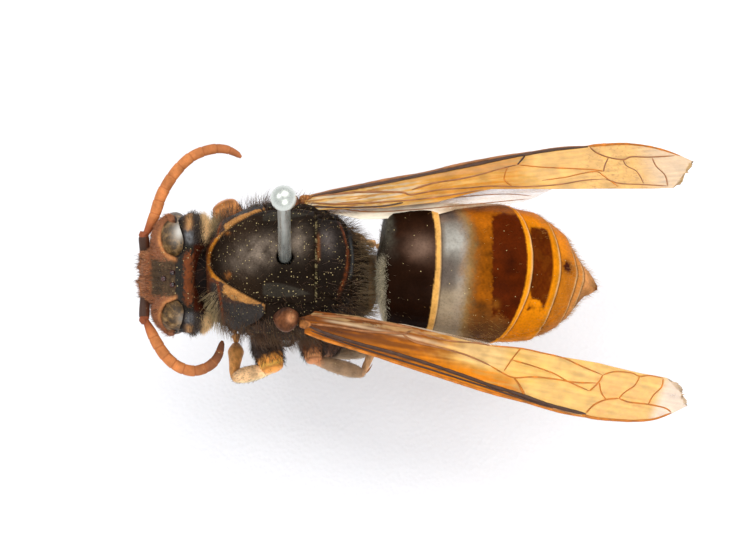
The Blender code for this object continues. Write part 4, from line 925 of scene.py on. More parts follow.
# The head: a broad capsule of brittle shell, hollowed behind to fit the collar, with a sooty crown between the eyes
# and orange cheeks and face. It dried rolled to one side. The eye rims, feeler sockets, face shield and furrows are
# raised or pressed in the capsule's own skin.
HEAD_PLACE = np.array((-10.52, 0.0, -0.3))
HEAD_ROLL = math.radians(23)
HEAD_FRONT = 1.05
HEAD_BACK = 1.62
HEAD_HALF_WIDTH = 2.66
HEAD_TOP = 1.95
HEAD_BOTTOM = 2.25
EYE_PLACE = (0.12, 1.62, 0.16)
EYE_HALF = (0.74, 0.98, 1.76)
EYE_LEAN = math.radians(14)
SOCKET_SPREAD = 0.62
SIMPLE_EYES = ((-0.33, 0.0, 0.05), (0.04, 0.26, 0.0), (0.04, -0.26, 0.0))
HEAD_ROWS = 210
HEAD_COLUMNS = 380

SOOT = (0.014, 0.012, 0.009)
CHARCOAL = (0.026, 0.022, 0.018)
FACE_ORANGE = (0.32, 0.12, 0.045)
RUST = (0.25, 0.082, 0.03)
DARK_RED = (0.04, 0.0075, 0.0025)
CHEEK_TAN = (0.42, 0.21, 0.08)


def rolled(points):
    """Turns points from the head's own frame into the insect's, in mm."""
    x, y, z = points[..., 0], points[..., 1], points[..., 2]
    turned = np.stack([x, y * math.cos(HEAD_ROLL) - z * math.sin(HEAD_ROLL),
                       y * math.sin(HEAD_ROLL) + z * math.cos(HEAD_ROLL)], -1)
    return turned + HEAD_PLACE


def eye_distance(points, sign):
    """1 on the surface of an eye, less inside it, in the head's own frame."""
    x = points[..., 0] - EYE_PLACE[0]
    y = points[..., 1] - sign * EYE_PLACE[1]
    z = points[..., 2] - EYE_PLACE[2]
    lean = sign * EYE_LEAN
    across = y * math.cos(lean) + z * math.sin(lean)
    up = -y * math.sin(lean) + z * math.cos(lean)
    return np.sqrt((x / EYE_HALF[0]) ** 2 + (across / EYE_HALF[1]) ** 2 + (up / EYE_HALF[2]) ** 2)


def face_shield(y, z):
    """1 on the rim of the face shield, less inside it."""
    return np.hypot(y / 1.02, (z + 1.25) / 0.92)


def head_surface(rows, columns):
    """The head's points in mm, in its own frame."""
    slide = (np.linspace(0.01, math.pi - 0.01, rows))[:, None]
    turn = (2 * math.pi * np.arange(columns) / columns)[None, :]
    x, y, z = -np.cos(slide) + 0 * turn, np.sin(slide) * np.cos(turn), np.sin(slide) * np.sin(turn)
    squareness = 2.0 + 1.1 * np.clip(x * 1.5 + 0.3, 0, 1)
    reach = (np.abs(x) ** squareness + np.abs(y) ** squareness + np.abs(z) ** squareness) ** (-1 / squareness)
    x, y, z = x * reach, y * reach, z * reach
    hollow = np.maximum(0, x) ** 2 * np.exp(-(y / 0.46) ** 2) * 0.52
    frons = np.maximum(0, -x) * np.exp(-(y / 0.3) ** 4 - ((z - 0.1) / 0.45) ** 2) * 0.04
    narrow = 1.0 - 0.34 * np.maximum(0, -z) ** 1.6
    slim = 1.0 - 0.22 * np.maximum(0, -z)
    length = np.where(x > 0, HEAD_BACK * slim, HEAD_FRONT)
    points = np.stack([x * length - hollow - frons, y * HEAD_HALF_WIDTH * narrow,
                       z * np.where(z > 0, HEAD_TOP, HEAD_BOTTOM)], -1)
    x, y, z = (points[..., i].copy() for i in range(3))
    points[..., 0] += 0.22 * soft(x, 0.6, 1.3) * soft(np.abs(y), 0.9, 1.6)
    points[..., 0] -= 0.33 * soft(-x, 0.55, 0.95) * fade(np.abs(y), 0.85, 1.25) * soft(z, -0.8, 0.1)
    points[..., 1] += 0.12 * soft(y, 1.6, 2.4) * soft(x, 0.3, 0.8)
    normal = grid_normals(points)

    x, y, z = (points[..., i] for i in range(3))
    front = soft(-x, 0.15, 0.45)
    shield = face_shield(y, z)
    height = 0.26 * front * soft(1.0 - shield, 0.0, 0.45) - 0.07 * front * ridge(shield - 1.05, 0.05)
    for sign in (-1, 1):
        socket = np.hypot(y - sign * SOCKET_SPREAD, z - 0.2)
        height += front * (0.07 * ridge(socket - 0.34, 0.08) - 0.1 * fade(socket, 0.12, 0.28))
        near = eye_distance(points, sign)
        height += 0.075 * ridge(near - 1.18, 0.12) * (1 - 0.9 * soft(x, 0.0, 0.3)) - 0.6 * fade(near, 0.96, 1.08)
        height -= 0.14 * soft(x, 0.0, 0.3) * fade(near, 1.05, 1.5)
    height -= front * 0.05 * ridge(y, 0.05) * soft(z, -0.2, 0.2)
    height -= 0.05 * ridge(x - 0.42 - 0.05 * y * y, 0.06) * soft(z, 0.8, 1.3) * fade(np.abs(y), 1.5, 1.9)
    height += 0.06 * ridge(x - 0.85, 0.22) * soft(z, 0.6, 1.2) * soft(np.abs(y), 0.3, 1.1)
    for spot_x, spot_y, _ in SIMPLE_EYES:
        height += (0.05 * ridge(np.hypot(x - spot_x, y - spot_y) - 0.05, 0.13)) * soft(z, 0.8, 1.2)
    height += 0.015 * wander(points, 1.2, 61) + 0.006 * wander(points, 0.3, 62)
    return points + normal * height[..., None]


def head_tone(points):
    """The colours and the roughness of the head at each point, in the head's own frame."""
    x, y, z = (points[..., i] for i in range(3))
    drift = wander(points, 0.8, 71)
    fine = wander(points, 0.2, 72, octaves=2)
    right = eye_distance(points, 1)
    left = eye_distance(points, -1)
    near = np.minimum(right, left)
    top = soft(z, 0.35, 0.9)
    tone = np.broadcast_to(np.array(SOOT), points.shape).copy()
    tone = laid(tone, RUST, fade(x + 0.05 * fine, -0.62, -0.3) * (0.85 + 0.15 * drift))
    tone = laid(tone, FACE_ORANGE, fade(x, -0.75, -0.35) * fade(z, 0.5, 1.2) * (0.85 + 0.15 * fine))
    orbit = soft(1.62 - near, 0.0, 0.25) * fade(x + 0.08 * fine, 0.02, 0.22)
    tone = laid(tone, (0.26, 0.1, 0.045), orbit * (0.85 + 0.15 * fine))
    crown = top * fade(np.abs(y) + 0.08 * fine + 0.05 * drift, 0.72, 0.92)
    crown *= soft(x + 0.05 * fine, -1.02, -0.8) * fade(x, 0.12, 0.2)
    tone = painted(tone, (
        ((0.066, 0.04, 0.022), crown),
        ((0.012, 0.008, 0.006), crown * soft(fine, 0.15, 1.0) * 0.35),
        ((0.17, 0.105, 0.055), crown * soft(-fine, 0.25, 1.1) * 0.22),
    ))
    sooty = top * soft(x + 0.03 * fine, 0.12, 0.2) * fade(x + 0.05 * fine, 0.5, 0.64)
    tone = laid(tone, CHARCOAL, sooty * fade(np.abs(y), 1.2, 1.5) * (0.8 + 0.2 * drift))
    band = soft(x + 0.09 * fine, 0.46, 0.66) * fade(x + 0.08 * fine, 0.82, 1.06) * top
    tone = painted(tone, (
        ((0.165, 0.045, 0.014), band * fade(np.abs(y) + 0.15 * fine, 0.95, 1.3) * (0.85 + 0.15 * drift)),
        (DARK_RED, soft(x, 0.9, 1.05) * fade(np.abs(y), 1.3, 1.7)),
        ((0.01, 0.004, 0.002), soft(x, 1.1, 1.35) * fade(np.abs(y), 0.9, 1.5)),
    ))
    temple = soft(x, 0.42, 0.6) * soft(np.abs(y), 1.35, 1.6)
    tone = laid(tone, (0.015, 0.009, 0.007), temple)
    # Painted sheen: a silvery highlight on each temple, stronger on the right.
    silver_sheen = temple * ridge(x - 0.78, 0.22) * ridge(np.abs(y) - 1.8, 0.33)
    tone = laid(tone, (0.2, 0.2, 0.205), np.clip(silver_sheen * (0.85 + 0.3 * fine), 0, 1) * np.where(y > 0, 0.9, 0.55))
    tan = ridge(x - 0.76, 0.15) * soft(np.abs(y) + 0.05 * fine, 1.98, 2.18)
    tone = laid(tone, CHEEK_TAN, tan * 0.95)
    tone = laid(tone, (0.03, 0.022, 0.018), soft(x + 0.06 * fine, 0.9, 1.08) * soft(np.abs(y), 1.5, 1.8))
    cheek = fade(z, -0.9, -0.2) * soft(np.abs(y), 0.4, 1.2) * soft(x, -0.4, 0.1) * fade(x, 0.85, 1.1)
    tone = laid(tone, (0.3, 0.12, 0.034), cheek)
    rim = ridge(near - 1.1, 0.065) * fade(x, 0.1, 0.32) * soft(z, 0.1, 0.8)
    tone = laid(tone, (0.42, 0.17, 0.06), np.clip(rim * 1.3, 0, 1) * fade(np.abs(y), 1.7, 2.2))
    # Painted shade in the groove round the rear of each eye, where it sits in the head.
    groove = ridge(near - 1.03, 0.035)
    tone = laid(tone, (0.008, 0.005, 0.004), groove * soft(x, -0.1, 0.25))
    shield_edge = ridge(face_shield(y, z) - 1.05, 0.05) * soft(-x, 0.15, 0.45)
    tone = laid(tone, (0.045, 0.014, 0.006), shield_edge * 0.8)
    gloss = 0.5 + 0.06 * drift - 0.12 * silver_sheen + 0.1 * orbit - 0.08 * soft(x, 0.9, 1.1)
    return np.clip(tone, 0.001, 1.0), np.clip(gloss, 0.2, 0.85)


head_finish = shell_material("head_shell", 12000.0, 0.45, 0.35, 2.0, 0.00001, specular=0.05)
head_points = head_surface(HEAD_ROWS, HEAD_COLUMNS)
head_colours, head_gloss = head_tone(head_points)
head = skin_from("head_skin", [(rolled(head_points), head_colours, head_gloss)], head_finish)
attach(head, "root")
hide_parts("head")


# The eyes: two long kidney-shaped domes of thousands of lenses, dried to a mottled olive brown under a clear glaze,
# with a soft pale highlight painted on each. Three glassy beads, the simple eyes, sit in a triangle on the crown.
def dome(name, centre, half, lean, material, indent=0.0, rows=70, columns=110, highlights=()):
    """An egg-shaped bead in mm, hollowed a little toward the crown, with soft pale highlights painted where highlights
    says.
    """
    slide = np.linspace(0.02, math.pi - 0.02, rows)[:, None]
    turn = (2 * math.pi * np.arange(columns) / columns)[None, :]
    x, y, z = np.sin(slide) * np.cos(turn), np.sin(slide) * np.sin(turn), np.cos(slide) + 0 * turn
    inner = np.maximum(0.0, -y * np.sign(lean if lean else 1)) ** 2 * np.maximum(0.0, -x + 0.4)
    shrink = 1.0 - indent * inner * np.exp(-((z - 0.35) / 0.4) ** 2)
    x, y, z = x * half[0] * shrink, y * half[1] * shrink, z * half[2] * shrink
    points = np.stack([x + centre[0], y * math.cos(lean) - z * math.sin(lean) + centre[1],
                       y * math.sin(lean) + z * math.cos(lean) + centre[2]], -1)
    pale = np.zeros(points.shape)
    for spot_x, spot_y, size, strength in highlights:
        pale += (ridge(points[..., 0] - spot_x, size) * ridge(points[..., 1] - spot_y, size * 1.35)
                 * strength)[..., None]
    return skin_from(name, [(rolled(points), np.clip(pale, 0, 1), pale[..., 0] * 0)], material)


eye_finish, tree, shader, here = new_material("eye")
cloud = add_node(tree, "ShaderNodeTexNoise", {"Vector": here, "Scale": 2400.0, "Detail": 6.0, "Roughness": 0.65})
blotch = add_node(tree, "ShaderNodeTexVoronoi", {"Vector": here, "Scale": 3300.0, "Randomness": 1.0})
lens = add_node(tree, "ShaderNodeTexVoronoi", {"Vector": here, "Scale": 36000.0, "Randomness": 0.25})
olive = ramp(tree, cloud.outputs["Fac"], (0.3, (0.02, 0.01, 0.004, 1)), (0.44, (0.058, 0.03, 0.009, 1)),
             (0.54, (0.15, 0.08, 0.026, 1)), (0.66, (0.3, 0.19, 0.08, 1)))
speck = ramp(tree, blotch.outputs["Distance"], (0.1, 0.0), (0.26, 1.0))
highlight_share = add_node(tree, "ShaderNodeAttribute", attribute_name="tone")
grains = add_node(tree, "ShaderNodeTexVoronoi", {"Vector": here, "Scale": 9500.0})
mottled = mix_colour(tree, speck, (0.03, 0.016, 0.007, 1.0), olive)
mottled = mix_colour(tree, ramp(tree, grains.outputs["Distance"], (0.12, 0.55), (0.24, 0.0)), mottled, (0.2, 0.13, 0.05,
                                                                                                        1.0))
# The painted highlights lighten the mottled olive to a soft pale grey.
tree.links.new(mix_colour(tree, highlight_share.outputs["Fac"], mottled, (0.62, 0.59, 0.53, 1.0)), shader.inputs["Base Color"])
tree.links.new(ramp(tree, cloud.outputs["Fac"], (0.3, 0.3), (0.7, 0.44)), shader.inputs["Roughness"])
shader.inputs["Coat Weight"].default_value = 0.03
shader.inputs["Coat Roughness"].default_value = 0.12
shader.inputs["Specular IOR Level"].default_value = 0.06
add_bump(tree, shader, calculate(tree, "MULTIPLY_ADD", cloud.outputs["Fac"], 1.5, lens.outputs["Distance"]),
         0.000006, 0.5)

# Where the painted highlights sit on each eye: place along and across, size and strength.
EYE_HIGHLIGHTS = {
    "right": ((0.38, 2.02, 0.2, 0.85), (0.26, 1.93, 0.33, 0.3)),
    "left": ((0.45, -1.8, 0.18, 0.3), (0.25, -1.6, 0.4, 0.06)),
}
for hand, sign in (("right", 1), ("left", -1)):
    eye = dome(f"compound_eye_{hand}", (EYE_PLACE[0], sign * EYE_PLACE[1], EYE_PLACE[2]), EYE_HALF,
               sign * EYE_LEAN, eye_finish, indent=0.18, highlights=EYE_HIGHLIGHTS[hand])
    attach(eye, "root")
    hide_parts(f"eye_{hand}")

bead_finish, tree, shader, here = new_material("simple_eye")
depth = add_node(tree, "ShaderNodeTexNoise", {"Vector": here, "Scale": 5000.0, "Detail": 2.0})
tree.links.new(ramp(tree, depth.outputs["Fac"], (0.35, (0.006, 0.001, 0.001, 1)), (0.65, (0.05, 0.005, 0.002, 1))),
               shader.inputs["Base Color"])
tree.links.new(ramp(tree, depth.outputs["Fac"], (0.3, 0.06), (0.7, 0.14)), shader.inputs["Roughness"])
shader.inputs["Coat Weight"].default_value = 0.25
shader.inputs["Coat Roughness"].default_value = 0.04
for number, (bead_x, bead_y, drop) in enumerate(SIMPLE_EYES):
    bead = dome(f"simple_eye_{number + 1}", (bead_x, bead_y, HEAD_TOP - drop), (0.13, 0.13, 0.13), 0.0, bead_finish,
                rows=16, columns=24)
    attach(bead, "root")


# The jaws: two stout toothed blades of thick amber shell that cross below the face shield, black at their cutting
# edges. Each is drawn along its own bend, flattened toward the teeth.
jaw_finish = shell_material("jaw_shell", 8000.0, 0.25, 0.3, 0.1, 0.000006, coat=0.3)
for hand, sign in (("right", 1), ("left", -1)):
    path = ((-0.3, 1.1, -1.75), (-0.52, 1.1, -2.25), (-0.72, 0.98, -2.7), (-0.86, 0.66, -2.98), (-0.95, 0.3, -3.12))
    path = [(px, sign * py, pz) for px, py, pz in path]
    rings, when = limb_rings(path, (0.4, 0.43, 0.4, 0.34, 0.16), sides=32, flatten=(0.95, 0.85, 0.7, 0.55, 0.45),
                             steps=12, face=(1.0, 0.0, 0.2))
    inner = soft(rings[..., 2] + 2.6, -0.3, 0.4)[..., None]
    teeth = 0.5 + 0.5 * np.cos((when / 4.0) * 2 * math.pi * 4.0)
    above = rings[..., 2] - rings[..., 2].mean(1)[:, None]
    rings[..., 2] += (0.07 * teeth * soft(when, 1.9, 2.4))[:, None] * soft(above, 0, 0.2)
    tone = plain(rings, (0.42, 0.15, 0.03))
    tone = laid(tone, (0.02, 0.007, 0.003), soft(when, 2.3, 3.4)[:, None] * np.ones(rings.shape[:2]))
    tone = laid(tone, (0.16, 0.05, 0.015), fade(when, 0.1, 0.7)[:, None] * np.ones(rings.shape[:2]))
    jaw = skin_from(f"jaw_{hand}", [(rolled(rings), tone, 0.3 + 0.05 * wander(rings, 0.4, 64))], jaw_finish)
    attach(jaw, "root")
    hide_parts(f"mandible_{hand}")


# The head's hairs: rust-coloured ones combed forward over the brow, shorter ones round the eyes, a pale yellow ruff
# behind the cheeks, and a few fine dark bristles that stand up from the crown.
head_hair = hair_material("head_hair")
x, y, z = (head_points[..., i] for i in range(3))
near = np.minimum(eye_distance(head_points, 1), eye_distance(head_points, -1))
clear = soft(near, 1.06, 1.16)
brow = fade(x, -0.98, -0.86) * soft(z, -0.4, 0.3) * fade(np.abs(y), 1.0, 1.4)
orbits = soft(1.7 - near, 0.0, 0.3) * fade(x, 0.0, 0.25)
sides = soft(x, 0.5, 0.8) * soft(np.abs(y), 1.3, 1.8)
face = fade(x, -0.6, -0.3) * fade(z, -0.2, 0.3)
nape = soft(x, 1.15, 1.4) * soft(np.abs(y), 1.1, 1.8)
forward = plain(head_points, (-1.0, 0.0, 0.05))
outward = np.stack([0.35 + 0 * x, np.sign(y) * 0.9, 0.1 + 0 * x], -1)
flow = forward + (outward - forward) * np.clip(sides + nape, 0, 1)[..., None]
crown = soft(z, 0.6, 1.0) * fade(np.abs(y), 0.75, 0.95) * soft(x, -1.0, -0.85)
density = clear * (0.1 + 0.9 * brow + 1.1 * orbits + 0.5 * sides + 0.5 * face + 1.3 * nape) * (1 - 0.92 * crown)
density = density * np.clip(0.8 + 0.5 * wander(head_points, 0.6, 75), 0.1, 2)
length = 0.17 + 0.1 * brow + 0.03 * orbits + 0.1 * sides + 0.18 * nape
rise = 0.55 - 0.3 * brow + 0.15 * sides - 0.1 * nape
colour = plain(head_points, (0.06, 0.035, 0.02))
colour = painted(colour, (
    ((0.36, 0.14, 0.06), np.clip(orbits + face, 0, 1)),
    ((0.47, 0.2, 0.085), np.clip(brow, 0, 1)),
    ((0.06, 0.04, 0.026), np.clip(sides, 0, 1)),
    ((0.82, 0.53, 0.25), np.clip(nape, 0, 1)),
))


def rolled_direction(vectors):
    """Turns directions from the head's own frame into the insect's."""
    return rolled(vectors) - HEAD_PLACE


head_coat = coat_from("head_hairs", rolled(head_points), density, length, rolled_direction(flow), rise, colour, 9500,
                      0.0065, 76, head_hair)
bristle_density = clear * (0.15 + 0.4 * soft(z, 0.3, 1.0) + brow)
crown_bristles = coat_from("head_bristles", rolled(head_points), bristle_density, 0.38 + 0 * x, rolled_direction(flow),
                           0.8 + 0 * x, plain(head_points, (0.05, 0.028, 0.015)), 520, 0.0075, 77, head_hair, bend=0.2)
fuzz_density = clear * (0.35 + 0.6 * brow + orbits + 0.6 * sides) * (1 - 0.85 * crown)
fuzz = coat_from("head_nap", rolled(head_points), fuzz_density, 0.09 + 0.06 * brow, rolled_direction(flow),
                 0.25 + 0 * x, head_colours * 1.2 + 0.015, 7000, 0.005, 78, head_hair)
for coat in (head_coat, crown_bristles, fuzz):
    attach(coat, "root")


# The feelers: each a stout dark first joint set in a ball socket in the face, a short elbow, and ten orange segments
# of a whip that curls back, each a hair wider at its far end. A close velvet covers the whip and dulls it.
FEELERS = {
    "right": (
        1,
        (-11.75, 1.5, 0.4),
        ((-11.72, 1.46, 0.4), (-11.31, 2.33, 0.58), (-10.98, 3.26, 0.8), (-10.5, 4.07, 0.96), (-9.97, 4.66, 1.1),
         (-9.46, 5.02, 1.12), (-8.78, 5.25, 1.1), (-8.22, 5.29, 0.97), (-7.78, 5.15, 0.85), (-7.52, 4.97, 0.8)),
    ),
    "left": (
        -1,
        (-11.73, -1.94, -0.5),
        ((-11.7, -1.98, -0.5), (-11.13, -3.1, -0.7), (-10.67, -3.7, -0.85), (-10.13, -4.07, -0.95),
         (-9.52, -4.19, -1.0), (-8.91, -3.97, -1.0), (-8.52, -3.53, -0.95), (-8.33, -2.86, -0.9)),
    ),
}
SEGMENT_ENDS = (0.17, 0.262, 0.354, 0.446, 0.539, 0.631, 0.723, 0.815, 0.908, 1.01)
WHIP_WIDTHS = ((0.0, 0.13), (0.03, 0.15), (0.11, 0.222), (0.2, 0.258), (0.34, 0.258), (0.6, 0.243), (0.8, 0.222),
               (0.92, 0.178), (0.975, 0.125), (1.0, 0.055))

feeler_finish = shell_material("feeler_shell", 26000.0, 0.3, 0.3, 0.12, 0.000006, specular=0.12)
for hand, (sign, elbow, whip) in FEELERS.items():
    socket = rolled(np.array((-1.0, sign * SOCKET_SPREAD, 0.2)))
    start = rolled(np.array((-1.17, sign * SOCKET_SPREAD, 0.2)))
    elbow = np.array(elbow)
    path = [socket, start, start + (elbow - start) * 0.12, start + (elbow - start) * 0.5,
            start + (elbow - start) * 0.9, elbow]
    scape, when = limb_rings(path, (0.17, 0.15, 0.19, 0.225, 0.235, 0.2), sides=28, steps=8)
    fine = wander(scape, 0.2, 81)
    tone = plain(scape, (0.06, 0.03, 0.02))
    tone = laid(tone, (0.11, 0.032, 0.012), soft(scape[..., 0] - scape[..., 0].mean(1)[:, None], 0.0, 0.2) * 0.8)
    tone = laid(tone, (0.2, 0.055, 0.02), soft(when, 4.3, 4.7)[:, None] + 0 * fine)
    forms = [(scape, tone, 0.34 + 0.05 * fine)]
    bulb, when = limb_rings([elbow - (elbow - start) * 0.05, elbow + (elbow - start) * 0.05,
                             np.array(whip[0]) * 0.98 + np.array(whip[1]) * 0.02,
                             np.array(whip[0]) * 0.93 + np.array(whip[1]) * 0.07],
                            (0.16, 0.235, 0.225, 0.12), sides=24, steps=6)
    tone = plain(bulb, (0.24, 0.066, 0.026))
    forms.append((bulb, tone, 0.36 + 0 * tone[..., 0]))

    table = np.hstack([np.arange(len(whip))[:, None], np.array(whip)])
    line = smooth_station(table, np.linspace(0, len(whip) - 1, 900))
    reach = np.concatenate([[0], np.cumsum(np.linalg.norm(np.diff(line, axis=0), axis=1))])
    share = np.linspace(0.0, 1.0, 420)
    centre = np.stack([np.interp(share * reach[-1], reach, line[:, i]) for i in range(3)], -1)
    radius = np.interp(share, *zip(*WHIP_WIDTHS))
    joint = np.zeros(len(share))
    before = 0.0
    for end in SEGMENT_ENDS:
        within = (share >= before) & (share < end)
        radius = radius * np.where(within, 0.955 + 0.06 * (share - before) / (end - before), 1.0)
        joint = joint + ridge(share - end, 0.0045)
        before = end
    radius = radius * (1 - 0.075 * np.clip(joint, 0, 1))
    rings, when = limb_rings(centre, radius, sides=30, steps=1)
    drift = wander(rings, 0.5, 83)
    tone = plain(rings, (0.5, 0.172, 0.052))
    tone = tone * (1 + 0.16 * drift)[..., None]
    tone = laid(tone, (0.3, 0.08, 0.028), fade(share, 0.04, 0.17)[:, None] + 0 * drift)
    dusk = (soft(share, 0.6, 1.0) if sign > 0 else soft(share, 0.45, 0.95))[:, None] + 0 * drift
    tone = laid(tone, (0.36, 0.12, 0.045) if sign > 0 else (0.09, 0.034, 0.02), dusk * 0.9)
    tone = laid(tone, (0.3, 0.085, 0.026), (np.clip(joint, 0, 1) * 0.55)[:, None] + 0 * drift)
    pale = ridge(((share[:, None] - np.array(SEGMENT_ENDS)[None]) + 0.011).reshape(len(share), -1), 0.006).sum(1)
    tone = laid(tone, (0.44, 0.17, 0.055), (np.clip(pale, 0, 1) * 0.35)[:, None] + 0 * drift)
    forms.append((rings, tone, 0.55 + 0.05 * drift))
    feeler = skin_from(f"feeler_{hand}", forms, feeler_finish)
    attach(feeler, "root")
    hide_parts(f"antenna_{hand}")
    down = coat_from(f"feeler_{hand}_nap", rings, 0.6 + 0 * drift, 0.045 + 0 * drift,
                     np.gradient(rings, axis=0) * 100, 0.35 + 0 * drift, tone * 1.25 + 0.02, 1700, 0.006, 84, head_hair)
    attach(down, "root")


# The legs: six, drawn in under the body as they dried. Each has a hip, a ring, a stout thigh, a shin swollen in its
# middle with two spurs at its end, and a foot of five joints with a pair of claws. The thighs are dark and hairy, the
# knees amber, the shins tan to grey.
LEG_JOINTS = {
    "foreleg_left": ((-7.3, -0.8, -2.2), (-6.8, -1.2, -3.2), (-6.15, -3.5, -3.0), (-7.88, -3.62, -4.0),
                     (-7.78, -1.7, -4.2), (-8.2, -0.7, -4.5)),
    "midleg_left": ((-4.9, -0.8, -2.2), (-4.7, -1.2, -3.4), (-4.35, -3.12, -3.0), (-2.2, -3.46, -3.9),
                    (-1.65, -1.9, -4.2), (-0.9, -0.6, -4.5)),
    "hindleg_left": ((-3.0, -0.8, -1.9), (-2.85, -1.2, -3.2), (-3.9, -2.35, -4.7), (-1.83, -1.95, -5.4),
                     (0.5, -1.5, -5.5), (2.0, -1.2, -5.3)),
    "foreleg_right": ((-7.3, 0.8, -2.2), (-7.1, 1.2, -3.3), (-8.3, 3.85, -2.6), (-8.6, 2.7, -4.6), (-8.4, 1.2, -5.2),
                      (-8.2, 0.2, -5.6)),
    "midleg_right": ((-4.9, 0.8, -2.2), (-4.7, 1.2, -3.4), (-5.1, 3.05, -3.8), (-3.5, 3.6, -5.5), (-2.0, 3.3, -6.3),
                     (-0.8, 2.9, -6.7)),
    "hindleg_right": ((-3.0, 0.8, -1.9), (-2.85, 1.2, -3.2), (-3.5, 2.2, -4.7), (-1.1, 1.9, -5.2), (1.2, 1.6, -5.2),
                      (2.8, 1.2, -5.0)),
}
# Thigh, knee, shin and foot colours, and how stout the thigh and the shin are; the same part's colour differs from leg
# to leg partly as painted light and shade
LEG_LOOKS = {
    "foreleg_left": ((0.034, 0.018, 0.011), (0.84, 0.33, 0.06), (0.9, 0.56, 0.28), (0.56, 0.25, 0.07), 1.28, 1.0),
    "midleg_left": ((0.18, 0.06, 0.022), (0.6, 0.24, 0.095), (0.33, 0.205, 0.115), (0.56, 0.31, 0.15), 0.95, 0.92),
    "hindleg_left": ((0.13, 0.052, 0.024), (0.24, 0.11, 0.05), (0.26, 0.18, 0.11), (0.5, 0.28, 0.12), 0.85, 0.9),
    "foreleg_right": ((0.3, 0.09, 0.026), (0.56, 0.21, 0.055), (0.56, 0.3, 0.12), (0.5, 0.2, 0.06), 1.5, 1.25),
    "midleg_right": ((0.09, 0.036, 0.016), (0.33, 0.13, 0.045), (0.28, 0.19, 0.115), (0.52, 0.29, 0.12), 0.9, 0.9),
    "hindleg_right": ((0.12, 0.05, 0.022), (0.24, 0.11, 0.05), (0.26, 0.19, 0.125), (0.5, 0.28, 0.12), 0.85, 0.9),
}
LEG_SIDES = 26
# The foot's joints: where each begins and ends along the foot, and its girth; the left forefoot's first is stouter
FOOT_JOINTS = ((0.0, 0.52, 1.15), (0.53, 0.68, 0.95), (0.69, 0.8, 0.88), (0.81, 0.89, 0.84), (0.9, 1.0, 0.8))
STOUT_GIRTH = 1.75


def between(start, end, shares, bulge=0.0):
    """Points from start to end at the given shares, bowed upward."""
    up = np.array((0.0, 0.0, 1.0))
    return [start + (end - start) * share + up * bulge * math.sin(math.pi * share) for share in shares]


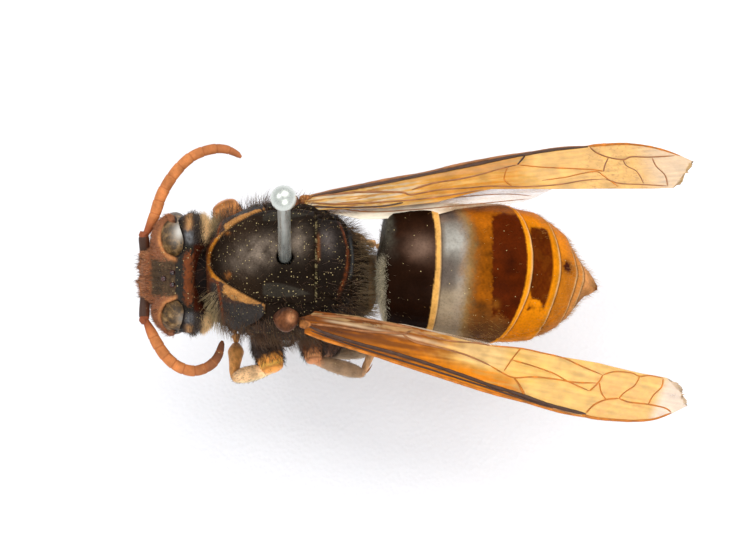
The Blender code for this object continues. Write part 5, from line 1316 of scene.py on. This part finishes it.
leg_finish = shell_material("leg_shell", 14000.0, 0.35, 0.35, 0.35, 0.000008, specular=0.16)
leg_hair = hair_material("leg_hair")
for name, joints in LEG_JOINTS.items():
    hip, ring, knee, ankle, middle, claws = (np.array(joint) for joint in joints)
    thigh_colour, knee_colour, shin_colour, foot_colour, stout, plump = LEG_LOOKS[name]
    forms = []

    rings, when = limb_rings(between(hip, ring, (0.0, 0.35, 0.7, 1.0)), (0.55, 0.66, 0.6, 0.34), sides=LEG_SIDES)
    fine = wander(rings, 0.4, 91)
    forms.append((rings, np.zeros(rings.shape) + np.array((0.03, 0.017, 0.011)) * (1 + 0.3 * fine[..., None]),
                  0.42 + 0.05 * fine))
    rings, when = limb_rings(between(ring, knee, (-0.08, 0.0, 0.08, 0.12)), (0.22, 0.34, 0.33, 0.2), sides=LEG_SIDES)
    forms.append((rings, plain(rings, (0.06, 0.028, 0.014)), 0.4 + 0 * rings[..., 0]))

    shares = (0.06, 0.12, 0.3, 0.5, 0.7, 0.86, 0.95, 1.02, 1.06)
    radii = np.array((0.16, 0.28, 0.42, 0.5, 0.5, 0.44, 0.4, 0.34, 0.18)) * stout
    rings, when = limb_rings(between(ring, knee, shares, 0.1), radii, sides=LEG_SIDES, steps=8)
    drift, fine = wander(rings, 0.6, 92), wander(rings, 0.15, 93)
    reach = np.interp(when, range(len(shares)), shares)[:, None] + 0 * fine
    tone = np.zeros(rings.shape) + np.array(thigh_colour) * (1 + 0.25 * drift[..., None])
    tone = painted(tone, (
        (knee_colour, soft(reach + 0.03 * fine, 0.74, 0.86)),
        (np.array(knee_colour) * 0.45, ridge(reach - 0.99 + 0.02 * fine, 0.03) * 0.7),
        (np.minimum(np.array(knee_colour) * 1.6, 0.8), ridge(reach - 0.93 + 0.03 * drift, 0.035) * 0.5),
    ))
    forms.append((rings, tone, 0.36 + 0.06 * drift))
    thigh_grid = (rings, tone, reach)

    shares = (-0.03, 0.03, 0.12, 0.3, 0.52, 0.74, 0.9, 0.98, 1.02)
    radii = np.array((0.13, 0.19, 0.23, 0.31, 0.355, 0.345, 0.27, 0.2, 0.1)) * plump
    rings, when = limb_rings(between(knee, ankle, shares, 0.05), radii, sides=LEG_SIDES, steps=8, flatten=[0.85] * 9)
    drift, fine = wander(rings, 0.6, 94), wander(rings, 0.15, 95)
    reach = np.interp(when, range(len(shares)), shares)[:, None] + 0 * fine
    edge = 1 - np.abs((rings - rings.mean(1, keepdims=True))[..., 2]) / 0.3
    tone = np.zeros(rings.shape) + np.array(shin_colour) * (1 + 0.18 * drift[..., None])
    tone = painted(tone, (
        (knee_colour, fade(reach + 0.04 * fine, 0.04, 0.22) * 0.9),
        (np.minimum(np.array(shin_colour) * 1.5 + 0.05, 0.75), soft(edge, 0.55, 0.95) * 0.45),
        (foot_colour, soft(reach + 0.03 * fine, 0.88, 0.99) * 0.8),
    ))
    forms.append((rings, tone, 0.44 + 0.06 * drift))
    shin_grid = (rings, tone, reach)

    toward = (middle - ankle) / np.linalg.norm(middle - ankle)
    for lean in (-1, 1):
        sideways = np.cross(toward, (0.0, 0.0, 1.0)) * lean
        spur, when = limb_rings([ankle, ankle + toward * 0.25 + sideways * 0.14 - np.array((0, 0, 0.08)),
                                 ankle + toward * 0.62 + sideways * 0.2 - np.array((0, 0, 0.16))],
                                (0.05, 0.04, 0.008), sides=10, steps=4)
        forms.append((spur, plain(spur, (0.3, 0.13, 0.045)), 0.35 + 0 * spur[..., 0]))
    table = np.hstack([np.arange(3)[:, None], np.array((ankle, middle, claws))])
    foot = smooth_station(table, np.linspace(0, 2, 60))
    length = np.concatenate([[0], np.cumsum(np.linalg.norm(np.diff(foot, axis=0), axis=1))])
    for begin, end, girth in FOOT_JOINTS:
        if name == "foreleg_left" and begin == 0.0:
            girth = STOUT_GIRTH
        spots = np.linspace(begin, end, 6) * length[-1]
        line = np.stack([np.interp(spots, length, foot[:, i]) for i in range(3)], -1)
        rings, when = limb_rings(line, np.array((0.07, 0.125, 0.145, 0.175, 0.2, 0.1)) * girth, sides=18, steps=4)
        fine = wander(rings, 0.25, 96)
        tone = np.zeros(rings.shape) + np.array(foot_colour) * (1 + 0.22 * fine[..., None])
        tone = laid(tone, np.array(foot_colour) * 0.4, soft(when, 4.3, 4.9)[:, None] * 0.7 + 0 * fine)
        forms.append((rings, tone, 0.42 + 0.05 * fine))
    ahead = (foot[-1] - foot[-6]) / np.linalg.norm(foot[-1] - foot[-6])
    for lean in (-1, 1):
        sideways = np.cross(ahead, (0.0, 0.0, 1.0)) * lean
        base = claws + sideways * 0.05
        claw, when = limb_rings([base - ahead * 0.05, base + ahead * 0.14 + sideways * 0.14,
                                 base + ahead * 0.3 + sideways * 0.16 - np.array((0, 0, 0.1)),
                                 base + ahead * 0.34 + sideways * 0.12 - np.array((0, 0, 0.26))],
                                (0.075, 0.065, 0.04, 0.008), sides=12, steps=4)
        forms.append((claw, plain(claw, (0.05, 0.02, 0.009)), 0.25 + 0 * claw[..., 0]))
    leg = skin_from(f"leg_{name}", forms, leg_finish)
    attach(leg, "root")
    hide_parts(name)

    for part, (rings, tone, reach), count, long, colour in (("thigh", thigh_grid, 1200, 0.34, (0.05, 0.028, 0.016)),
                                                            ("shin", shin_grid, 500, 0.15, (0.32, 0.21, 0.12))):
        away = np.gradient(rings, axis=0) * 50
        reachful = fade(reach, 0.8, 0.95) if part == "thigh" else soft(reach, 0.02, 0.15)
        fuzz = coat_from(f"leg_{name}_{part}_hair", rings, 0.02 + reachful, long + 0 * reach, away, 0.42 + 0 * reach,
                         np.zeros(rings.shape) + np.array(colour), count, 0.0085, 97, leg_hair)
        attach(fuzz, "root")


# The wings: a forewing and a hindwing on each side, folded along the body. Each is a thin horny film, amber and almost
# opaque with streaks near the root, clear cream at the torn tip, held stiff by hollow veins and pleated along them.
WING_ROOT = (-4.75, 2.78, 1.6)
WING_SPLAY = {"left": math.radians(12.3), "right": math.radians(6.2)}
WING_ROLL, WING_DIVE, WING_ARCH, WING_SPAN = math.radians(27), math.radians(2), 0.5, 16.8
WING_FILM = 0.03
VEIN_SIDES = 10
VEIN_STEPS = 9
WINGS = {
    # Leading edge, inner edge and torn end: distance along the wing and across it, in mm
    "forewing_left": (((0.0, -0.47), (1.03, -0.62), (2.9, -0.84), (4.68, -1.09), (6.51, -1.31), (8.24, -1.49),
                       (9.73, -1.53), (11.21, -1.63), (12.32, -1.6), (13.44, -1.45), (14.55, -1.24), (15.51, -0.94),
                       (16.18, -0.55), (16.89, -0.01)),
                      ((0.0, 0.5), (0.23, 0.59), (2.33, 0.73), (4.42, 0.74), (5.89, 0.68), (7.8, 0.59), (8.24, 0.65),
                       (9.58, 0.81), (11.21, 0.83), (12.99, 0.96), (13.73, 0.95), (14.84, 0.96), (15.88, 1.03),
                       (16.9, 1.1)),
                      ((0.0, 16.9), (0.25, 16.86), (0.36, 16.73), (0.63, 16.7), (0.88, 16.6), (1.0, 16.0))),
    "forewing_right": (((0.0, -0.25), (1.98, -0.43), (3.73, -0.66), (5.22, -0.79), (6.66, -1.07), (8.54, -1.3),
                        (9.81, -1.38), (11.02, -1.51), (11.95, -1.53), (12.83, -1.57), (14.08, -1.51), (15.02, -1.27),
                        (15.76, -0.95), (16.41, -0.59), (16.96, -0.18)),
                       ((0.0, 0.5), (0.54, 0.69), (3.47, 1.08), (5.78, 1.08), (7.66, 0.68), (8.1, 0.62), (11.02, 0.95),
                        (13.21, 1.15), (15.1, 1.34), (16.05, 1.39), (17.0, 1.4)),
                       ((0.0, 16.96), (0.27, 16.85), (0.41, 16.77), (0.7, 16.42), (0.86, 16.52), (1.0, 16.05))),
    "hindwing_left": (((0.6, -0.3), (3.0, -0.45), (6.0, -0.66), (8.5, -0.7), (10.3, -0.45), (10.9, -0.1)),
                      ((0.6, 0.2), (2.4, 0.7), (4.4, 0.92), (6.5, 0.9), (8.6, 0.88), (10.2, 0.7), (10.9, 0.3)),
                      ((0.0, 10.9), (0.5, 10.95), (1.0, 10.7))),
    "hindwing_right": (((0.6, -0.3), (3.0, -0.45), (6.0, -0.66), (8.5, -0.6), (10.0, -0.1), (10.9, 0.62)),
                       ((0.6, 0.6), (2.4, 1.39), (4.2, 1.61), (5.6, 1.68), (6.6, 1.44), (7.6, 1.38), (8.8, 1.42),
                        (9.5, 1.36), (10.1, 1.16), (10.9, 0.72)),
                       ((0.0, 10.9), (0.5, 10.8), (1.0, 10.85))),
}
DARK_VEIN, TAN_VEIN, AMBER_VEIN = (0.062, 0.029, 0.017), (0.3, 0.12, 0.04), (0.48, 0.15, 0.012)
VEINS = {
    # Each vein: its colour, its thickness at both ends, and its course
    "forewing_left": (
        (AMBER_VEIN, 0.065, 0.05,
         ((0.05, -0.45), (1.03, -0.6), (2.9, -0.82), (4.68, -1.07), (6.51, -1.29), (8.24, -1.47), (9.73, -1.52),
          (11.21, -1.61), (12.32, -1.58))),
        (DARK_VEIN, 0.085, 0.078,
         ((0.1, -0.12), (1.05, -0.32), (2.53, -0.48), (4.02, -0.58), (5.5, -0.74), (6.98, -0.93), (8.24, -1.12),
          (8.99, -1.18), (9.73, -1.26), (10.84, -1.4), (11.95, -1.43), (12.47, -1.42))),
        (DARK_VEIN, 0.04, 0.045,
         ((0.3, -0.32), (1.6, -0.52), (3.4, -0.74), (5.2, -0.93), (7.0, -1.13), (8.6, -1.3), (10.0, -1.42),
          (11.0, -1.5))),
        (AMBER_VEIN, 0.034, 0.06, ((9.28, -0.56), (9.53, -0.84), (9.73, -1.2))),
        (AMBER_VEIN, 0.034, 0.03,
         ((8.24, -0.27), (8.76, -0.46), (9.28, -0.56), (10.17, -0.33), (11.06, -0.21), (11.95, -0.14), (12.99, 0.07))),
        (AMBER_VEIN, 0.03, 0.03, ((8.84, -0.36), (9.17, 0.22), (9.58, 0.79))),
        (AMBER_VEIN, 0.03, 0.03, ((9.17, 0.22), (10.17, 0.15), (11.06, 0.03), (11.66, -0.17), (12.62, -0.38))),
        (AMBER_VEIN, 0.034, 0.03,
         ((8.24, 0.61), (9.58, 0.79), (10.47, 0.81), (11.43, 0.81), (12.25, 0.63), (13.21, 0.46))),
        (AMBER_VEIN, 0.03, 0.034, ((13.21, 0.46), (12.99, 0.07), (12.62, -0.38))),
        (AMBER_VEIN, 0.03, 0.03, ((13.06, 0.09), (13.14, -0.3), (13.36, -0.58))),
        (AMBER_VEIN, 0.04, 0.032, ((12.47, -1.36), (12.84, -0.92), (13.36, -0.58), (13.92, -0.39))),
        (AMBER_VEIN, 0.032, 0.034, ((13.92, -0.39), (14.4, -0.44), (15.22, -0.33), (15.96, -0.31), (16.25, -0.44))),
        (AMBER_VEIN, 0.028, 0.028, ((13.92, -0.39), (14.18, -0.05), (14.62, 0.35), (14.84, 0.81))),
        (AMBER_VEIN, 0.028, 0.028, ((15.22, -0.33), (15.44, 0.11), (15.81, 0.57), (15.88, 0.97))),
        (AMBER_VEIN, 0.028, 0.028,
         ((13.21, 0.46), (13.73, 0.74), (14.47, 0.87), (14.84, 0.81), (15.29, 0.96), (15.88, 0.99))),
        (AMBER_VEIN, 0.075, 0.04,
         ((12.3, -1.5), (12.75, -1.52), (13.44, -1.43), (14.55, -1.22), (15.51, -0.91), (16.25, -0.46))),
        (TAN_VEIN, 0.05, 0.045, ((0.31, -0.02), (1.42, 0.08), (2.53, 0.11), (3.72, 0.27), (4.31, 0.35), (4.76, 0.58))),
        (TAN_VEIN, 0.045, 0.034, ((4.31, 0.35), (4.91, 0.1), (5.87, 0.07), (6.98, 0.01), (7.72, -0.13), (8.24, -0.27))),
        (TAN_VEIN, 0.04, 0.034, ((4.76, 0.58), (5.72, 0.48), (6.61, 0.48), (7.72, 0.61), (8.24, 0.61))),
        (TAN_VEIN, 0.05, 0.05, ((0.31, 0.39), (1.79, 0.59), (2.9, 0.66), (4.02, 0.66), (4.76, 0.69))),
    ),
    "forewing_right": (
        (TAN_VEIN, 0.09, 0.06,
         ((0.3, -0.22), (1.98, -0.41), (3.73, -0.64), (5.22, -0.77), (6.66, -1.05), (8.54, -1.28), (9.81, -1.37),
          (11.02, -1.5), (12.4, -1.5))),
        (DARK_VEIN, 0.095, 0.07,
         ((0.3, -0.12), (1.76, -0.28), (3.65, -0.46), (4.68, -0.6), (6.13, -0.8), (7.59, -1.0), (8.54, -1.16),
          (9.56, -1.3), (11.02, -1.44), (12.4, -1.46))),
        (AMBER_VEIN, 0.07, 0.036,
         ((12.4, -1.51), (13.17, -1.52), (14.08, -1.48), (15.02, -1.25), (15.76, -0.92), (16.41, -0.54))),
        (TAN_VEIN, 0.042, 0.032,
         ((12.48, -1.46), (12.77, -1.08), (13.28, -0.73), (13.93, -0.53), (14.3, -0.66), (15.1, -0.57),
          (16.19, -0.56))),
        (DARK_VEIN, 0.045, 0.034, ((9.63, -1.23), (9.3, -0.72))),
        (AMBER_VEIN, 0.032, 0.03, ((9.3, -0.72), (10.29, -0.45), (11.6, -0.23), (12.62, -0.06), (13.06, 0.1))),
        (TAN_VEIN, 0.045, 0.034,
         ((4.68, 0.15), (5.62, -0.09), (6.86, -0.18), (7.81, -0.35), (8.68, -0.59), (9.3, -0.72))),
        (TAN_VEIN, 0.055, 0.03,
         ((0.3, -0.11), (1.76, -0.08), (2.85, 0.01), (4.24, 0.23), (4.68, 0.44), (5.84, 0.33), (7.23, 0.4), (8.1, 0.43),
          (9.56, 0.67), (11.02, 0.71), (12.18, 0.57), (13.13, 0.57))),
        (AMBER_VEIN, 0.03, 0.026, ((9.05, 0.55), (8.72, 0.07), (8.86, -0.62))),
        (AMBER_VEIN, 0.026, 0.028,
         ((10.36, 0.36), (11.38, 0.28), (12.18, 0.11), (12.77, 0.08), (13.13, 0.46), (13.71, 1.08))),
        (TAN_VEIN, 0.03, 0.03, ((13.06, 0.1), (13.13, -0.29), (13.28, -0.68))),
        (TAN_VEIN, 0.03, 0.028, ((13.13, 0.57), (13.79, 0.9), (14.81, 1.06), (15.83, 1.25))),
        (TAN_VEIN, 0.028, 0.026, ((13.93, -0.52), (14.08, -0.15), (14.52, 0.25), (14.81, 0.98))),
        (TAN_VEIN, 0.028, 0.026, ((15.21, -0.5), (15.39, 0.03), (15.76, 0.61), (15.86, 1.25))),
        (TAN_VEIN, 0.045, 0.04, ((0.16, 0.22), (1.76, 0.54), (3.22, 0.68), (4.68, 0.8), (6.13, 0.77), (7.8, 0.62))),
        (DARK_VEIN, 0.05, 0.045, ((0.3, 0.42), (1.9, 0.8), (3.4, 0.98), (4.3, 0.9))),
    ),
    "hindwing_left": (
        (TAN_VEIN, 0.05, 0.024, ((0.6, -0.22), (3.0, -0.36), (6.0, -0.56), (8.5, -0.6), (10.2, -0.38))),
        (TAN_VEIN, 0.034, 0.018, ((0.8, 0.06), (3.6, 0.42), (6.5, 0.6), (9.6, 0.66))),
    ),
    "hindwing_right": (
        (TAN_VEIN, 0.05, 0.024, ((0.6, -0.22), (3.0, -0.36), (6.0, -0.56), (8.5, -0.5), (10.2, 0.1))),
        (TAN_VEIN, 0.034, 0.016, ((0.8, 0.2), (2.6, 1.0), (4.6, 1.2), (7.0, 1.24), (9.9, 1.22))),
        (TAN_VEIN, 0.028, 0.016, ((2.2, 0.62), (5.0, 0.72), (8.4, 0.8), (9.9, 1.06))),
    ),
}


def wing_point(hand, along, across, drop):
    """A place on the pleated sheet of a wing, in mm of the body's frame."""
    sign = 1 if hand == "right" else -1
    splay = WING_SPLAY[hand]
    x = WING_ROOT[0] + math.cos(splay) * along
    y = sign * (WING_ROOT[1] + math.sin(splay) * along - math.cos(WING_ROLL) * across)
    arch = WING_ARCH * np.sin(np.pi * np.clip(along / WING_SPAN, 0, 1))
    pleat = 0.055 * np.cos(across * 5.4 + 0.25 * along) * (1 - soft(along, 5.0, 14.0) * 0.65)
    z = WING_ROOT[2] - math.sin(WING_DIVE) * along + math.sin(WING_ROLL) * across + arch + pleat - drop
    return np.stack([x + 0 * z, y + 0 * z, z], -1)


def film_material(name):
    """Horny amber film whose depth of colour and clearness follow the wing's own attributes."""
    material, tree, shader, here = new_material(name)
    tone = add_node(tree, "ShaderNodeAttribute", attribute_name="tone")
    clear = add_node(tree, "ShaderNodeAttribute", attribute_name="gloss")
    grain = add_node(tree, "ShaderNodeTexNoise", {"Vector": here, "Scale": 3200.0, "Detail": 4.0})
    shade = ramp(tree, grain.outputs["Fac"], (0.35, 0.86), (0.7, 1.0))
    tree.links.new(mix_colour(tree, 1.0, tone.outputs["Color"], shade, "MULTIPLY"), shader.inputs["Base Color"])
    tree.links.new(clear.outputs["Fac"], shader.inputs["Alpha"])
    shader.inputs["Roughness"].default_value = 0.22
    shader.inputs["IOR"].default_value = 1.54
    shader.inputs["Specular IOR Level"].default_value = 0.14
    crease = add_node(tree, "ShaderNodeTexNoise", {"Vector": here, "Scale": 900.0, "Detail": 5.0, "Distortion": 1.2})
    add_bump(tree, shader, crease.outputs["Fac"], 0.00001, 0.6)
    return material


def vein_tree():
    """Geometry Nodes that turn lines with a thickness at each point into smooth round tubes."""
    tree = bpy.data.node_groups.new("vein_tubes", "GeometryNodeTree")
    for label, way, kind in (("Geometry", "INPUT", "Geometry"), ("Sides", "INPUT", "Int"),
                             ("Material", "INPUT", "Material"), ("Geometry", "OUTPUT", "Geometry")):
        tree.interface.new_socket(label, in_out=way, socket_type=f"NodeSocket{kind}")
    entry = tree.nodes.new("NodeGroupInput").outputs
    line = add_node(tree, "GeometryNodeMeshToCurve", {"Mesh": entry["Geometry"]})
    circle = add_node(tree, "GeometryNodeCurvePrimitiveCircle", {"Resolution": entry["Sides"], "Radius": 1.0})
    width = add_node(tree, "GeometryNodeInputNamedAttribute", {"Name": "width"}, data_type="FLOAT")
    tube = add_node(tree, "GeometryNodeCurveToMesh", {
        "Curve": line.outputs["Curve"], "Profile Curve": circle.outputs["Curve"],
        "Scale": width.outputs["Attribute"], "Fill Caps": True})
    smooth = add_node(tree, "GeometryNodeSetShadeSmooth", {"Geometry": tube.outputs["Mesh"]})
    finish = add_node(tree, "GeometryNodeSetMaterial",
                      {"Geometry": smooth.outputs["Geometry"], "Material": entry["Material"]})
    leave = tree.nodes.new("NodeGroupOutput")
    tree.links.new(finish.outputs["Geometry"], leave.inputs["Geometry"])
    return tree


def veins_from(name, hand, veins, drop, tree, material):
    """One mesh of a wing's veins, laid on its upper face by the tube tree."""
    verts, edges, widths, tones = [], [], [], []
    for colour, thick, thin, course in veins:
        table = np.hstack([np.arange(len(course))[:, None], np.array(course)])
        steps = np.linspace(0, len(course) - 1, (len(course) - 1) * VEIN_STEPS + 1)
        line = smooth_station(table, steps)
        place = wing_point(hand, line[:, 0], line[:, 1], drop) + np.array((0, 0, WING_FILM * 0.5))
        share = steps / steps[-1]
        width = (thick * (1 - share) + thin * share) * np.clip(0.35 + 8 * np.minimum(share, 1 - share), 0, 1)
        speck = wander(place[:, None], 0.35, 71)[:, 0]
        edges.extend((len(verts) + i, len(verts) + i + 1) for i in range(len(steps) - 1))
        verts.extend(in_metres(place))
        widths.extend((width * (1 + 0.1 * speck) * MM).tolist())
        tones.extend((np.array(colour) * (1 + 0.25 * speck)[:, None]).tolist())
    mesh = bpy.data.meshes.new(name + "_lines")
    mesh.from_pydata(verts, edges, [])
    layer = mesh.attributes.new("width", "FLOAT", "POINT")
    layer.data.foreach_set("value", widths)
    colour_layer(mesh, "tone", np.array(tones))
    colour_layer(mesh, "gloss", np.full((len(verts), 3), 0.3))
    lines = in_scene(name + "_lines", mesh)
    change = lines.modifiers.new("tubes", "NODES")
    change.node_group = tree
    sockets = {item.name: item.identifier for item in tree.interface.items_tree if item.in_out == "INPUT"}
    change[sockets["Sides"]] = VEIN_SIDES
    change[sockets["Material"]] = material
    solid = bpy.data.meshes.new_from_object(lines.evaluated_get(bpy.context.evaluated_depsgraph_get()))
    lines.modifiers.remove(change)
    bpy.data.objects.remove(lines)
    return in_scene(name, solid)


film_finish = film_material("wing_film")
vein_finish = shell_material("wing_vein", 30000.0, 0.1, 0.25, 0.0, 0.000003, specular=0.25)
tubes = vein_tree()
for name, (lead, inner, torn) in WINGS.items():
    fore, hand = name.startswith("fore"), name.split("_")[1]
    rows, columns = (300, 42) if fore else (120, 24)
    drop = 0.0 if fore else (0.42 if hand == "right" else 0.55)
    across = np.linspace(0, 1, columns)[None, :]
    ragged = 0.1 * np.sin(across * 41 + 1.0) * np.sin(across * 17) + 0.05 * np.sin(across * 93)
    end = np.interp(across, *zip(*torn)) + (ragged if fore else ragged * 0.4)
    begin = lead[0][0]
    along = begin + (end - begin) * np.linspace(0, 1, rows)[:, None]
    table_lead, table_inner = np.array(lead), np.array(inner)
    top_v = np.interp(along, table_lead[:, 0], table_lead[:, 1])
    low_v = np.interp(along, table_inner[:, 0], table_inner[:, 1])
    side = top_v * (1 - across) + low_v * across
    sheet = wing_point(hand, along, side, drop)
    streak = wander(np.stack([along * 0.22, side * 3.2, 0 * side], -1), 0.5, 72 + len(name), 4)
    patch = wander(np.stack([along, side * 1.3, 0 * side], -1), 1.1, 75, 3)
    lattice = wander(np.stack([along, side * 1.4, 0 * side], -1), 0.32, 76, 2)
    if not fore:
        tone = plain(sheet, (0.8, 0.56, 0.34))
        tone = laid(tone, (0.56, 0.3, 0.11), fade(along, 1.0, 5.0) * 0.8 + 0 * side)
        tone = laid(tone, (0.85, 0.76, 0.62), soft(streak, 0.1, 0.6) * 0.8)
        lace = soft(side, 0.8, 1.1) * fade(along, 5.4, 6.6)
        tone = laid(tone, (0.98, 0.87, 0.69), lace * 0.95)
        veil = 0.55 - 0.32 * soft(along, 5.0, 8.5) + 0.12 * streak + 0.5 * lace
    elif hand == "left":
        root = 1 - soft(along + 0.5 * streak, 5.0, 8.6)
        tone = plain(sheet, (0.9, 0.52, 0.11))
        tone = laid(tone, (0.4, 0.11, 0.004), root)
        tone = laid(tone, (0.12, 0.036, 0.01),
                    np.clip(fade(along + 1.2 * streak, 2.4, 6.4) * (0.86 + 0.35 * streak), 0, 1))
        front = fade(side + 0.25 + 0.03 * along, -0.2, 0.15) * fade(along + 0.8 * side, 8.3, 9.2)
        tone = painted(tone, (
            ((0.76, 0.225, 0.002), np.clip(front * (0.88 + 0.4 * streak), 0, 1)),
            ((0.26, 0.072, 0.012), front * fade(along, 3.0, 7.0) * 0.75),
            ((0.76, 0.48, 0.2), soft(across, 0.7, 0.84) * soft(streak, 0.1, 0.5) * root * 0.55),
            # partly pale film, partly painted highlight: a cream line along the folded root
            ((0.86, 0.64, 0.39), ridge(across - 0.69 - 0.012 * along, 0.045) * soft(along, 0.6, 1.4) * root * 0.55),
            ((0.78, 0.5, 0.2), soft(along, 6.2, 7.4) * soft(across, 0.45, 0.62) * fade(along, 8.6, 9.4) * 0.8),
            ((0.48, 0.13, 0.008), fade(across, 0.03, 0.1) * fade(along, 11.5, 13.0) * 0.85),
            ((0.8, 0.38, 0.085), soft(along, 12.6, 13.1) * fade(along, 15.3, 15.9) * soft(patch, -0.2, 0.4) * 0.6),
            ((0.85, 0.6, 0.37), soft(along - 0.35 * side, 15.4, 15.9)),
        ))
        veil = 0.8 - 0.1 * soft(along, 8.0, 10.0) - 0.26 * soft(along - 0.35 * side, 15.4, 16.0) + 0.08 * root
        veil = veil - 0.3 * root * soft(across, 0.7, 0.85) * soft(streak, 0.05, 0.4) + 0.12 * front
    else:
        root = 1 - soft(along + 0.6 * streak, 2.5, 6.5)
        tone = plain(sheet, (0.88, 0.49, 0.11))
        tone = painted(tone, (
            ((0.73, 0.41, 0.11), root),
            ((0.34, 0.125, 0.024), soft(streak, 0.1, 0.6) * root * 0.9),
            # partly pale film, partly painted highlight: cream streaks along the folded root
            ((0.9, 0.8, 0.62), fade(streak, -0.6, -0.25) * root * 0.6),
        ))
        body = soft(along, 3.5, 6.0) * fade(along, 8.8, 10.2)
        tone = laid(tone, (0.62, 0.23, 0.008), np.clip(body * (0.7 + 0.5 * streak), 0, 1))
        front = fade(side + 0.35, -0.25, 0.15) * soft(along, 3.0, 5.0) * fade(along, 8.8, 9.6)
        tone = laid(tone, (0.7, 0.33, 0.08), front * 0.7)
        mesh_like = ridge(lattice, 0.1) * soft(along, 11.5, 12.8) * fade(along, 15.2, 15.9)
        tone = laid(tone, (0.56, 0.27, 0.065), mesh_like * 0.8)
        tone = laid(tone, (0.78, 0.51, 0.24), soft(along - 0.25 * side, 14.3, 15.6) * 0.8)
        veil = (0.8 - 0.1 * soft(along, 9.0, 10.5) - 0.18 * soft(along, 14.2, 16.0) - 0.08 * root
                + 0.1 * streak * root)
    tone = np.clip(tone * (1 + 0.1 * patch + 0.1 * streak)[..., None], 0, 1)
    veil = np.clip(veil, 0.12, 0.95)
    half = np.array((0, 0, WING_FILM * 0.5))
    rings = np.concatenate([sheet + half, (sheet - half)[:, ::-1]], axis=1)
    film = skin_from(f"{name}_film", [(rings, np.concatenate([tone, tone[:, ::-1]], axis=1),
                                       np.concatenate([veil, veil[:, ::-1]], axis=1))], film_finish)
    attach(film, "root")
    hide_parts(name)
    veins = veins_from(f"{name}_veins", hand, VEINS[name], drop, tubes, vein_finish)
    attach(veins, "root")


# The studio: a plain pale floor that runs off into a pale surround, with a broad soft box overhead and two weaker
# ones to the sides. The camera looks down at the insect's back, tipped a little towards its left side.
TARGET = Vector((-1.63 * MM, -0.14 * MM, AXIS_HEIGHT))
CAMERA_DISTANCE = 0.55
CAMERA_ELEVATION = math.radians(73)
FRAME_WIDTH = 32.74 * MM
SENSOR_WIDTH = 36.0
FLOOR_HALF = 6

floor_finish, tree, shader, here = new_material("studio_floor")
grain = add_node(tree, "ShaderNodeTexNoise", {"Vector": here, "Scale": 40.0, "Detail": 2.0})
tree.links.new(ramp(tree, grain.outputs["Fac"], (0.3, (0.775, 0.78, 0.8, 1)), (0.7, (0.79, 0.795, 0.82, 1))),
               shader.inputs["Base Color"])
shader.inputs["Roughness"].default_value = 0.9
floor_corners = [(across * FLOOR_HALF, along * FLOOR_HALF, 0) for across, along in ((-1, -1), (1, -1), (1, 1), (-1, 1))]
floor = piece_from("studio_floor", floor_corners, [(0, 1, 2, 3)], floor_finish)

world = bpy.data.worlds.new("studio")
world.use_nodes = True
glow = world.node_tree.nodes["Background"]
glow.inputs["Color"].default_value = (0.95, 0.965, 1.0, 1.0)
seen = add_node(world.node_tree, "ShaderNodeLightPath")
strength = calculate(world.node_tree, "MULTIPLY_ADD", seen.outputs["Is Camera Ray"], 0.11, 0.84)
world.node_tree.links.new(strength, glow.inputs["Strength"])
bpy.context.scene.world = world
bpy.context.scene.view_settings.view_transform = "Standard"

for name, place, size, power, tint in (("soft_box_top", (0.07, 0.17, 0.38), 0.36, 0.76, (1.0, 0.985, 0.955)),
                                       ("soft_box_head", (-0.26, 0.05, 0.32), 0.22, 0.4, (1.0, 0.99, 0.98)),
                                       ("soft_box_near", (0.08, -0.32, 0.28), 0.26, 0.66, (1.0, 0.99, 0.98))):
    lamp = bpy.data.lights.new(name, "AREA")
    lamp.size = size
    lamp.energy = power
    lamp.color = tint
    stand = in_scene(name, lamp)
    stand.location = place
    stand.rotation_euler = (TARGET - Vector(place)).to_track_quat("-Z", "Y").to_euler()

camera_data = bpy.data.cameras.new("camera")
camera_data.sensor_width = SENSOR_WIDTH
camera_data.lens = SENSOR_WIDTH * CAMERA_DISTANCE / FRAME_WIDTH
camera_data.clip_start = 0.02
camera_data.clip_end = 20.0
camera = in_scene("camera", camera_data)
back = Vector((0.0, -math.cos(CAMERA_ELEVATION), math.sin(CAMERA_ELEVATION)))
camera.location = TARGET + back * CAMERA_DISTANCE
camera.rotation_euler = (-back).to_track_quat("-Z", "Y").to_euler()
bpy.context.scene.camera = camera
